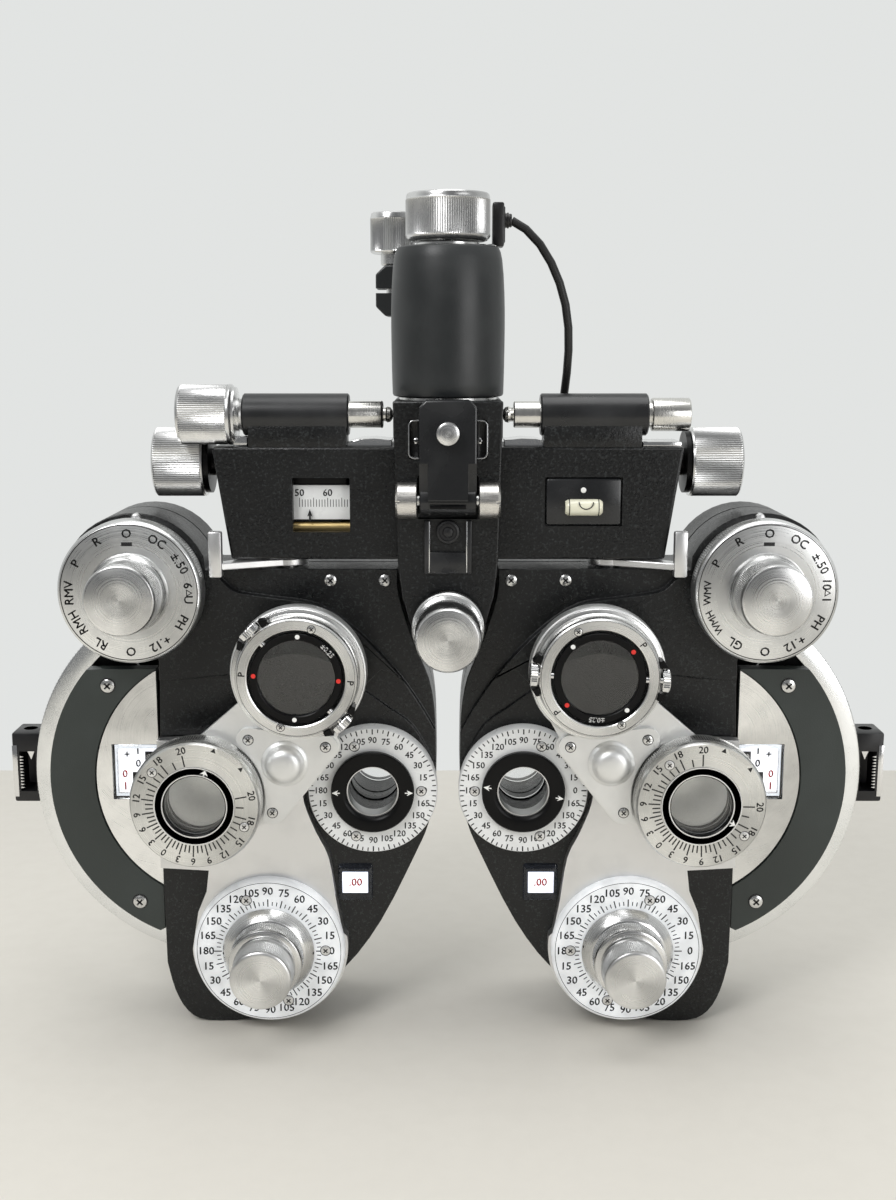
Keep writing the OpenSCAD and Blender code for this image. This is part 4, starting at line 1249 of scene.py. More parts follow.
        plunger = Bench.turned("plunger_bar", spot(19.3, 9, -43.7), Axis.RIGHT, [(0.6, 0), (1.7, 0.2),
            (2.6, 0.9), (2.9, 1.9), (2.5, 2.9), (2.4, 3.7), (4.3, 3.8), (4.7, 4.2), (4.7, 52.4),
            (5.5, 52.4), (5.85, 52.8), (5.85, 65.3), (5.6, 65.8), (5.1, 66), (2, 66)], 72)
        fit(plunger, "spring_plunger", drawn, "spring_plunger")

    def _width_knobs(self) -> None:
        """Pupil distance knobs at both ends of their screw."""
        for axis, edge in ((Axis.RIGHT, self.screw.low.x), (Axis.LEFT, self.screw.high.x)):
            seat = Vector((edge, self.screw.centre.y, self.screw.centre.z))
            knob = Bench.turned("width_grip", seat, axis, [(3, 0), (11, 0), (12, 0.3), (12.5, 0.8),
                (12.5, 1.4), (12.5, 17.2), (12.5, 17.7), (12.3, 18.4), (11.2, 18.6), (9, 18.6)],
                knurl=Knurl(92, 1.3, 17.3, 0.34))
            washer = Bench.turned("width_washer", seat, axis, [(9, 18.4), (11.3, 18.7), (11.3, 20.4),
                (5, 20.8), (5, 22.7)], 72)
            fit(knob, "pd_screw", TurnedMetal(centre=tuple(seat), turning=Turning.ALONG_X), "pd_screw")
            fit(washer, "pd_screw", BLACK_ANODISE)


@dataclass
class Side:
    """One of the two lens batteries: its name, and the sign that mirrors it across."""

    name: str
    flip: int

    @property
    def body(self) -> str:
        """Body of the case."""
        return f"{self.name}_battery"

    def node(self, part: str) -> str:
        """Full name of a node or body on this side."""
        return f"{self.name}_{part}"

    def fit(self, piece: bpy.types.Object, finish: Finish, *parts: str) -> None:
        """Fits a piece to the case, where it stands for the CAD parts named."""
        fit(piece, self.body, finish, *map(self.node, parts))

    def centre(self, part: str) -> Vector:
        """Middle of the front face of a node on this side."""
        return Box.of(self.node(part)).front()

    def place(self, x: float, y: float, z: float) -> Vector:
        """Point given in millimetres for the left side."""
        return spot(x * self.flip, y, z)


@dataclass
class Battery(Side):
    """Case of a lens battery with its guard, covers and windows."""

    aux: Point = (-110.5, -104)
    weak: Point = (-81, -176)
    rim: Point = (-81, -175.5)
    inner: Sequence[Point] = ((-17.8, -98), (-17.4, -108), (-11.8, -126), (-6.9, -138), (-4.9, -150),
        (-4.4, -165), (-4.6, -180), (-7.2, -192), (-11.5, -202.5), (-24.8, -229.5), (-38.4, -248),
        (-56, -262), (-73.6, -268.4), (-90, -269.2), (-97.5, -265.5), (-102, -257), (-104.6, -246))
    ledge: Sequence[Point] = ((-82.5, -99), (-79.5, -102.5), (-74.5, -106), (-60, -108.2), (-46.6, -110.5),
        (-35, -118), (-26.4, -126.1), (-17, -137), (-9, -149), (-3, -160))

    def build(self) -> None:
        """Builds the case, guard, bezel, covers, windows and gauge."""
        self._case()
        self._guard()
        self._sphere_window()
        self._cylinder_cover()
        self._power_window()
        self._weak_dial()
        self._gauge()
        self._lever()

    def _outline(self) -> list[Point]:
        """Outline of the case."""
        return (smooth(self.inner, 3) + [(-104.9, -209), (-104.4, -160), (-103.6, -131)] + arc(self.aux,
            26.4, -76, -325, 32) + [(-86.4, -93), (-86, -98)])

    def _case(self) -> None:
        """Front and back halves, with the stepped ledges and the sight tube."""
        flip = self.flip
        sight = self.centre("axis_dial")
        front = panel("case_front", self._outline(), 0, 19.9, 0, flip)
        step = smooth(self.ledge, 3) + [(6, -165), (6, -60), (-84, -60)]
        Bench.carve(front, panel("upper_step", step, -2, 3.4, 0, flip))
        field_edge = [(-110, -138.4), (-90, -137.2), (-79.3, -136), (-74, -140), (-72, -148), (-74, -166),
            (-110, -166)]
        Bench.carve(front, panel("field_step", field_edge, -2, 1.1, 0, flip))
        inner_step = smooth([(-31, -141), (-22, -147.6), (-12.6, -154.9), (-5.1, -168.4)], 4)
        Bench.carve(front, panel("inner_step", inner_step + [(2, -168), (2, -150), (-10, -140),
            (-24, -134)], -2, 1.2, 0, flip))
        bored(front, sight, 9.4)
        Bench.soften(front, 0.55 * MM)
        self.fit(front, CASE_PAINT, "case_front")
        back = panel("case_back", self._outline(), 20.1, 38, 0, flip)
        bored(back, sight, 9.4)
        Bench.soften(back, 0.9 * MM)
        self.fit(back, CASE_PAINT, "case_back")
        eye = Bench.turned("eye_ring", level(sight, 37.5), Axis.BACK, [(15.9, 0), (16, 3.6), (15.6, 4.2),
            (14.6, 4.5), (12.4, 4.5), (11.2, 3.4), (9.4, 2.8), (9.4, 0)], 96, hollow=True)
        self.fit(eye, BLACK_PLASTIC)
        lens = Bench.turned("eye_glass", level(sight, 34), Axis.BACK, [(9.3, 0), (9.3, 1.6), (7, 1.9),
            (4, 2.1), (1, 2.2)], 64)
        self.fit(lens, GLASS)
        hub = Bench.turned("hanger_boss", self.place(-58, 13, -104.8), Axis.UP,
            [(6.7, 0), (6.7, 6), (6.3, 6.4), (4.05, 6.4), (4.05, 0)], 64, hollow=True)
        self.fit(hub, SLEEVE_PAINT)
        for name, place, radius, start, end in (("aux_boss", self.aux, 6, -0.5, 5),
                ("pivot_boss", (-57, -163.3), 8, -0.5, 12.6)):
            boss = Bench.turned(name, self.place(place[0], 0, place[1]), Axis.FRONT,
                [(radius, start), (radius, end - 0.3), (radius - 0.3, end)], 64)
            self.fit(boss, SATIN)
        places = [self.place(x, 3.4, z) for x, z in ((-41.9, -102.1), (-22.5, -102.1))]
        screws("case_screws", 2.2, 0.9, places, self.body, STEEL)
        places = [self.place(x, 38, z) for x, z in ((-40, -120), (-92, -124), (-96, -205), (-84, -256),
            (-32, -222))]
        screws("rear_screws", 2.4, 1.0, places, self.body, STEEL, math.pi)
        nub = Bench.turned("aux_nub", self.place(-109.6, -0.2, -79.5), Axis.FRONT, [(1.9, -1.5), (1.9, 0.2),
            (1.5, 0.9), (0.7, 1.2)], 32)
        self.fit(nub, SATIN)

    def _guard(self) -> None:
        """Two cheeks either side of the weak sphere dial, and the bright bezel."""
        flip = self.flip
        cheek = arc(self.rim, 64, 140, 246, 48) + [(-105.1, -233), (-105.1, -134)]
        front = panel("guard_front", cheek, 1.4, 7.4, 0, flip)
        Bench.carve(front, panel("bezel_seat", arc(self.rim, 47.7, 100, 260, 48), -1, 3.4, 0, flip))
        Bench.carve(front, panel("window_seat", [(-122.4, -162.4), (-100, -162.4), (-100, -183.2),
            (-122.4, -183.2)], -1, 9, 0, flip))
        Bench.soften(front, 0.5 * MM)
        self.fit(front, GUARD_PAINT, "side_cover")
        self.fit(panel("guard_back", cheek, 18.6, 22, 0.5, flip), GUARD_PAINT)
        band = arc(self.rim, 47.3, 121, 239, 60)
        inside = [point for point in band if point[0] < -105.3]
        edge_z = math.sqrt(47.3 ** 2 - (105.3 - 81) ** 2)
        bezel = panel("sphere_plate", [(-105.3, self.rim[1] + edge_z)] + inside
            + [(-105.3, self.rim[1] - edge_z)], 2.2, 3.4, 0, flip)
        Bench.carve(bezel, panel("window_hole", [(-122.4, -162.4), (-100, -162.4), (-100, -183.2),
            (-122.4, -183.2)], -1, 9, 0, flip))
        Bench.soften(bezel, 0.25 * MM)
        metal = TurnedMetal(slot="polished_steel", centre=tuple(self.place(-98, 0, -160)), pitch=0.6 * MM,
            colour=(0.9, 0.9, 0.89), rough=0.16)
        self.fit(bezel, metal, "sphere_bezel")
        places = [self.place(x, 1.4, z) for x, z in ((-122.6, -140.3), (-114.1, -222.5))]
        screws("guard_screws", 2.6, 1.0, places, self.body, STEEL)

    def _sphere_window(self) -> None:
        """Backlit sphere power window and its clear frame."""
        flip = self.flip
        frame_piece = block("sphere_frame", (-122.3, 2.4, -183.1), (-104.9, 4.2, -162.5), 0.5, flip)
        Bench.carve(frame_piece, block("frame_cut", (-120.6, 0, -181), (-100, 8, -164), 0.3, flip))
        self.fit(frame_piece, CLEAR_RIM)
        self.fit(block("sphere_panel", (-121.6, 4.6, -182.4), (-105, 6.4, -163.2), 0.2, flip), GLOW)
        squares = [block("square", low, high, 0.03, flip)
            for low, high in (((-115.6, 4.42, -180.2), (-110.8, 4.65, -173.6)), ((-110.8, 4.42, -170.4),
            (-105.2, 4.65, -165.8)))]
        self.fit(Bench.join("sphere_squares", squares), BLACK_PLASTIC)
        y = 4.5
        black = Bench.lettering("sphere_figures", [(text, self.place(x, y, z), 2.6 * MM, 0)
            for text, x, z in (("+", -117.4, -167), ("1", -113.4, -165.6), ("0", -113.4, -170.4))])
        red = Bench.lettering("sphere_minus", [(text, self.place(x, y, z), 2.6 * MM, 0)
            for text, x, z in (("0", -118.4, -174.4), ("1", -118.4, -179))])
        white = Bench.lettering("sphere_white", [("0 0", self.place(-108, 4.38, -168.1), 2.4 * MM, 0)])
        self.fit(black, INK)
        self.fit(red, RED_INK)
        self.fit(white, WHITE_INK)

    def _cylinder_cover(self) -> None:
        """Satin plate over the cylinder mechanism."""
        edge = [(-50.5, -163), (-52.5, -172), (-52, -182), (-48, -193), (-43.4, -203), (-41, -219),
            (-38.5, -232)]
        outline = ([(-104.4, -159), (-72, -158), (-52, -157.5)] + smooth(edge, 3) + arc((-65.4, -237.4),
            28.6, 8, -178, 40) + [(-91.5, -224), (-88.2, -216), (-87.2, -208), (-104.6, -207)])
        cover = panel("cylinder_plate", outline, -5, -0.02, 0, self.flip)
        bored(cover, self.place(-57, 0, -163.3), 8.3)
        Bench.soften(cover, 0.9 * MM)
        self.fit(cover, SATIN, "cylinder_cover")

    def _power_window(self) -> None:
        """Backlit cylinder power window."""
        flip = self.flip
        frame_piece = block("power_frame", (-40.4, -1.1, -221.4), (-27.6, 1.2, -207), 1.6, flip)
        self.fit(frame_piece, SMOKE)
        self.fit(block("power_tile", (-38.9, -1.16, -218.2), (-29.4, -0.6, -210), 0.25, flip), GLOW)
        figures = Bench.lettering("power_figures", [(".00", self.place(-34.0, -1.18, -214.1), 2.7 * MM, 0)])
        self.fit(figures, RED_INK)

    def _weak_dial(self) -> None:
        """Weak sphere dial: ribbed clear rim, web and lenses."""
        centre = self.place(self.weak[0], 9, self.weak[1])
        rim = Bench.turned("weak_rim", centre, Axis.BACK, [(70.6, 0), (71.2, 0.3), (71.5, 0.8), (71.5, 7.2),
            (71.2, 7.7), (70.6, 8), (64.2, 8), (64.2, 0)], hollow=True, knurl=Knurl(300, 0.7, 7.3, 0.35))
        body = self.node("weak_dial")
        fit(rim, body, RIM_METAL, self.node("weak_dial"))
        web = Bench.turned("weak_web", self.place(self.weak[0], 11, self.weak[1]), Axis.BACK,
            [(64.5, 0), (64.5, 2.6), (4.1, 2.6), (4.1, 0)], 144, hollow=True)
        holes = []
        glasses = []
        for index in range(12):
            angle = 90 + 1.06 * self.flip + index * 30
            seat = clock(level(centre, 10), 54, angle)
            holes.append(Bench.turned("seat_drill", seat, Axis.BACK, [(9, 0), (9, 5)], 48))
            if index:
                glasses.append(Bench.turned("glass", seat, Axis.BACK, [(8.95, 1.6), (8.95, 2.8), (5, 3),
                    (1, 3.1)], 40))
        Bench.carve(web, Bench.join("drills", holes))
        fit(Bench.settle(web), body, BLACK_ANODISE)
        fit(Bench.join("weak_lenses", glasses), body, GLASS)

    def _gauge(self) -> None:
        """Cornea gauge: sighting box with its notched edge."""
        flip = self.flip
        box = block("gauge_box", (-164.4, 20, -190.2), (-153.4, 34, -163.2), 0.9, flip)
        Bench.carve(box, block("gauge_cut", (-161.8, 15, -186), (-155.7, 31, -170.4), 0.25, flip))
        self.fit(box, BLACK_PLASTIC, "cornea_gauge")
        self.fit(block("gauge_arm", (-154, 24, -185), (-104.9, 27.4, -168), 0.6, flip), BLACK_PLASTIC)
        self.fit(block("gauge_strip", (-164.3, 19.6, -188), (-162.4, 20.2, -168), 0.1, flip), POLISHED)
        teeth = [panel("tooth", [(-161.9, z - 0.4), (-160.3, z), (-161.9, z + 0.4)], 20.3, 21, 0, flip)
            for z in (-184.6, -183.4, -182.2, -181, -179.8, -178.6, -177.4, -176.2, -175, -173.8, -172.6)]
        teeth.append(panel("notch", [(-158.8, -170.2), (-157.4, -173.6), (-156, -170.2)], 20.3, 21, 0, flip))
        self.fit(Bench.join("gauge_teeth", teeth), POLISHED)
        cap = Bench.turned("gauge_cap", self.place(-158.9, 27, -163.6), Axis.UP, [(3.4, -1), (3.4, 0.2),
            (2.6, 0.4)], 32)
        self.fit(cap, BLACK_PLASTIC)

    def _lever(self) -> None:
        """Vergence lever on the slider's pin."""
        flip, body = self.flip, self.node("lever")
        blade = block("lever_blade", (-84, -4.6, -100), (-79.2, -1, -83.6), 0.8, flip)
        fit(blade, body, SATIN, self.node("vergence_lever"))
        corners = [(-58, 6), (-79.6, -4), (-83.4, -4), (-83.4, -1.4), (-63, 18)]
        arm = Bench.prism("lever_arm", [self.place(x, y, -97.35) for x, y in corners],
            Vector((0, 0, 2.4 * MM)), 0.3 * MM)
        bored_eye = Bench.turned("pin_drill", self.place(-58, 13, -99), Axis.UP, [(4.05, 0), (4.05, 6)], 48)
        Bench.carve(arm, bored_eye)
        fit(arm, body, SATIN)
        eye = Bench.turned("lever_eye", self.place(-58, 13, -97.4), Axis.UP, [(7.2, 0), (7.5, 0.3),
            (7.5, 2.2), (7.2, 2.5), (4.05, 2.5), (4.05, 0)], 64, hollow=True)
        fit(eye, body, SATIN)


@dataclass
class AuxDial(Side):
    """Auxiliary lens dial, with the strong sphere knob in its middle."""

    def build(self) -> None:
        """Builds the dial, its lettering and the knob."""
        node, body = self.node("aux_dial"), self.node("aux_dial")
        face = self.centre("aux_dial")
        seat = level(face, -0.5)
        dial = Bench.turned("aux_disc", seat, Axis.FRONT, [(21.9, 0), (23.6, 1), (24.8, 2.8), (25.2, 3.6),
            (25.2, 4.2), (25.2, 9.6), (25.15, 10), (24.9, 10.6), (24.3, 11.4), (24, 11.55), (23.92, 11.58),
            (15, 11.6), (6.1, 11.6), (6.1, 0)], hollow=True, knurl=Knurl(180, 3.9, 9.8, 0.3))
        metal = TurnedMetal(centre=tuple(face), colour=(0.86, 0.865, 0.86), rough=0.3)
        fit(dial, body, metal, node)
        line = Bench.turned("aux_line", moved(face, -0.03), Axis.BACK, [(23.9, 0), (23.6, 0), (23.6, 0.1),
            (23.9, 0.1)], 128, hollow=True)
        fit(line, body, INK)
        self._letters(face, body)
        self._knob()

    def _letters(self, face: Vector, body: str) -> None:
        """Lens names round the dial, and the bar under the open position."""
        names = {"left": ("O", "OC", "±.50", "6△U", "PH", "+.12", "O", "RL", "RMH", "RMV", "P", "R"),
            "right": ("O", "OC", "±.50", "10△I", "PH", "+.12", "O", "GL", "WMH", "WMV", "P", "R")}
        top = moved(face, -0.03)
        labels = []
        for index, words in enumerate(names[self.name]):
            angle = index * 30
            if "△" in words:
                number, letter = words.split("△")
                labels.append((number, clock(top, 20.6, angle - 7.2 - (len(number) - 1) * 1.5), 2.9 * MM,
                    angle))
                labels.append((letter, clock(top, 20.6, angle + 6.6), 2.9 * MM, angle))
                fit(self._triangle(clock(top, 20.6, angle), angle), body, INK)
            else:
                height = 2.4 * MM if words.startswith("W") else 2.9 * MM
                labels.append((words, clock(top, 20.6, angle), height, angle))
        fit(Bench.lettering("aux_letters", labels), body, INK)
        bar = Bench.slab("open_bar", (face.x - 1.9 * MM, top.y, face.z + 16.4 * MM),
            (face.x + 1.9 * MM, top.y + 0.1 * MM, face.z + 17.7 * MM), 0.02 * MM)
        fit(bar, body, INK)
        dot = Bench.turned("index_dome", clock(moved(face, 0.1), 11, 0) + Vector((0, 0, -1.6 * MM)),
            Axis.FRONT, [(1.6, 0), (1.5, 0.5), (1, 0.9), (0.4, 1.05)], 24)
        fit(dot, body, SATIN)

    @staticmethod
    def _triangle(centre: Vector, angle: float) -> bpy.types.Object:
        """Outline of a small triangle, the sign for prism power."""
        pieces = []
        for first in range(3):
            second = (first + 1) % 3
            outer = [clock(centre, 1.5, angle + 120 * k) for k in (first, second)]
            near = [clock(centre, 0.9, angle + 120 * k) for k in (second, first)]
            pieces.append(Bench.prism("prism_sign", outer + near, Vector((0, 0.05 * MM, 0))))
        return Bench.join("prism_sign", pieces)

    def _knob(self) -> None:
        """Strong sphere knob with a fine straight knurl."""
        body = self.node("strong_knob")
        face = self.centre("strong_knob")
        seat = level(face, -12.4)
        knob = Bench.turned("strong_grip", seat, Axis.FRONT, [(13.6, 0), (13.9, 0.5), (13.7, 1.3),
            (13.2, 2.2), (12.6, 3), (12.3, 3.8), (12.3, 4.3), (12.3, 13.6), (12.3, 14), (12.2, 14.6),
            (11.8, 15.3), (11.2, 15.6), (5, 15.55), (0.6, 15.5)], knurl=Knurl(120, 4.2, 13.7, 0.24))
        fit(knob, body, TurnedMetal(centre=tuple(face), pitch=0.24 * MM, rough=0.26),
            self.node("strong_knob"))
        shaft = Bench.turned("strong_shaft", seat, Axis.BACK, [(3.5, -0.5), (3.5, 17.8)], 32)
        fit(shaft, body, STEEL)


@dataclass
class AxisDial(Side):
    """White axis dial and the black ring round the sight aperture."""

    lean: float = 0.0

    def build(self) -> None:
        """Builds the dial, its scale and the ring with its arrows."""
        self._dial()
        self._ring()

    def _dial(self) -> None:
        """White dial with the axis scale at its edge."""
        face = self.centre("axis_dial")
        dial = Bench.turned("axis_disc", level(face, -0.1), Axis.FRONT, [(23, 0), (23.2, 0.3), (23.2, 6.3),
            (22.9, 6.8), (14, 6.8), (13.3, 6.8), (13.3, 0)], 144, hollow=True)
        self.fit(dial, DIAL_WHITE, "axis_dial")
        top = moved(face, -0.01)
        turn = 90
        long_marks = Bench.ticks("axis_long", top, 20.9, 22.8, 0.45, turn, 345, 24)
        short = Bench.ticks("axis_short", top, 21.5, 22.8, 0.38, turn, 355, 72)
        self.fit(Bench.join("axis_marks", [long_marks, short]), INK)
        labels = []
        for value in range(0, 360, 15):
            shown = value if value <= 180 else value - 180
            labels.append((str(shown), clock(top, 18.7, turn - value), 2.15 * MM, 0))
        self.fit(Bench.lettering("axis_figures", labels), INK)
        depth = (top.y - FACE) / MM
        places = [self.place(x, depth, z) for x, z in ((-33.4, -160.6), (-9.6, -177.2), (-33.2, -194.1))]
        screws("axis_screws", 1.7, 0.35, places, self.body, SATIN)

    def _ring(self) -> None:
        """Black ring, its bright inner cell and two white arrows."""
        body = self.node("axis_ring")
        face = self.centre("axis_ring")
        ring = Bench.turned("axis_ring_disc", level(face, -0.6), Axis.FRONT, [(13.15, 0), (13.15, 6.6),
            (14.7, 6.6), (14.9, 6.9), (14.9, 8.6), (14.5, 9.15), (11, 9.2), (10.1, 8.9), (9.35, 8),
            (9.35, 0)], 96, hollow=True)
        fit(ring, body, BLACK_ANODISE, self.node("axis_ring"))
        cell = Bench.turned("sight_cell", level(face, -7.8), Axis.BACK, [(9.34, 0), (8.9, 0), (8.9, 7),
            (9.34, 7)], 96, hollow=True)
        fit(cell, body, SATIN)
        arrows = []
        for angle in (90 - self.lean, 270 - self.lean):
            tip = moved(face, -0.02)
            head = [clock(tip, 14.5, angle), clock(tip, 12.3, angle + 5), clock(tip, 12.9, angle),
                clock(tip, 12.3, angle - 5)]
            arrows.append(Bench.prism("arrow", head, Vector((0, 0.06 * MM, 0))))
            arrows.append(Bench.ticks("arrow_stem", tip, 11.6, 13, 0.4, angle, 0, 1))
        fit(Bench.join("axis_arrows", arrows), body, WHITE_INK)


@dataclass
class CylinderControls(Side):
    """Cylinder axis scale with the axis knob, and the power knob in front."""

    lean: float = 0.0

    def build(self) -> None:
        """Builds scale, axis knob and power knob."""
        self._scale()
        self._axis_knob()
        self._power_knob()

    def _scale(self) -> None:
        """Backlit scale disc."""
        face = self.centre("axis_scale")
        disc = Bench.turned("scale_disc", level(face, -5.1), Axis.FRONT, [(27.3, 0), (27.6, 0.4),
            (27.6, 2.6), (27.1, 3.5), (26.4, 4), (18, 4), (8.2, 4), (8.2, 0)], 144, hollow=True)
        self.fit(disc, SCALE_WHITE, "axis_scale")
        top = moved(face, -0.01)
        line = Bench.turned("scale_line", top, Axis.BACK, [(26.35, 0), (26.15, 0), (26.15, 0.1),
            (26.35, 0.1)], 144, hollow=True)
        turn = 90
        long_marks = Bench.ticks("scale_long", top, 17.2, 20, 0.42, turn, 345, 24)
        short = Bench.ticks("scale_short", top, 17.6, 19.1, 0.34, turn, 355, 72)
        self.fit(Bench.join("scale_marks", [line, long_marks, short]), INK)
        labels = [(str(value if value <= 180 else value - 180), clock(top, 23, turn - value), 2.7 * MM, 0)
            for value in range(0, 360, 15)]
        self.fit(Bench.lettering("scale_figures", labels), INK)
        depth = (top.y - FACE) / MM
        places = [self.place(x, depth, z) for x, z in ((-73.2, -217.8), (-44.7, -237.2), (-58.6, -256.7))]
        screws("scale_screws", 1.8, 0.4, places, self.body, SATIN)

    def _axis_knob(self) -> None:
        """Axis knob with its skirt and pointer dots."""
        body = self.node("axis_knob")
        face = self.centre("axis_knob")
        seat = level(face, -5.2)
        skirt = Bench.turned("axis_skirt", seat, Axis.FRONT, [(8, 0), (8, 4.25), (16.5, 4.25), (16.7, 4.5),
            (16.7, 5.2), (16.2, 5.8), (14.2, 8), (13.4, 8.5), (12.6, 8.8), (4.1, 8.8), (4.1, 0)], 128,
            hollow=True)
        grip = Bench.turned("axis_grip", seat, Axis.FRONT, [(13, 8.6), (13.2, 9), (13.2, 9.4), (13.2, 14.6),
            (13.2, 15), (12.9, 15.6), (12.2, 16), (9, 16), (4.1, 16), (4.1, 8.6)], hollow=True,
            knurl=Knurl(110, 9.3, 14.7, 0.26))
        metal = TurnedMetal(centre=tuple(face), rough=0.2)
        fit(skirt, body, metal, self.node("axis_knob"))
        fit(grip, body, metal)
        dots = []
        for angle in (90 - self.lean, 270 - self.lean):
            centre = clock(level(face, -10.75), 15.9, angle)
            dots.append(Bench.turned("dot", centre, Axis.FRONT, [(0.75, -0.6), (0.7, 0.15), (0.4, 0.3)], 24))
        fit(Bench.join("axis_dots", dots), body, INK)

    def _power_knob(self) -> None:
        """Power knob on its shaft."""
        body = self.node("power_knob")
        face = self.centre("power_knob")
        seat = level(face, -21.5)
        knob = Bench.turned("power_grip", seat, Axis.FRONT, [(9.6, 0), (9.6, 0.9), (10.8, 1.1), (11.1, 1.6),
            (11.1, 2.2), (10.8, 2.8), (10.8, 3.2), (10.8, 11), (10.8, 11.4), (10.6, 12), (10.1, 12.4),
            (9.6, 12.5), (4, 12.45), (0.6, 12.4)], knurl=Knurl(100, 3.1, 11.1, 0.24))
        fit(knob, body, TurnedMetal(centre=tuple(face), rough=0.3, pitch=0.26 * MM), self.node("power_knob"))
        shaft = Bench.turned("power_shaft", seat, Axis.BACK, [(4, -0.5), (4, 27)], 32)
        fit(shaft, body, STEEL)


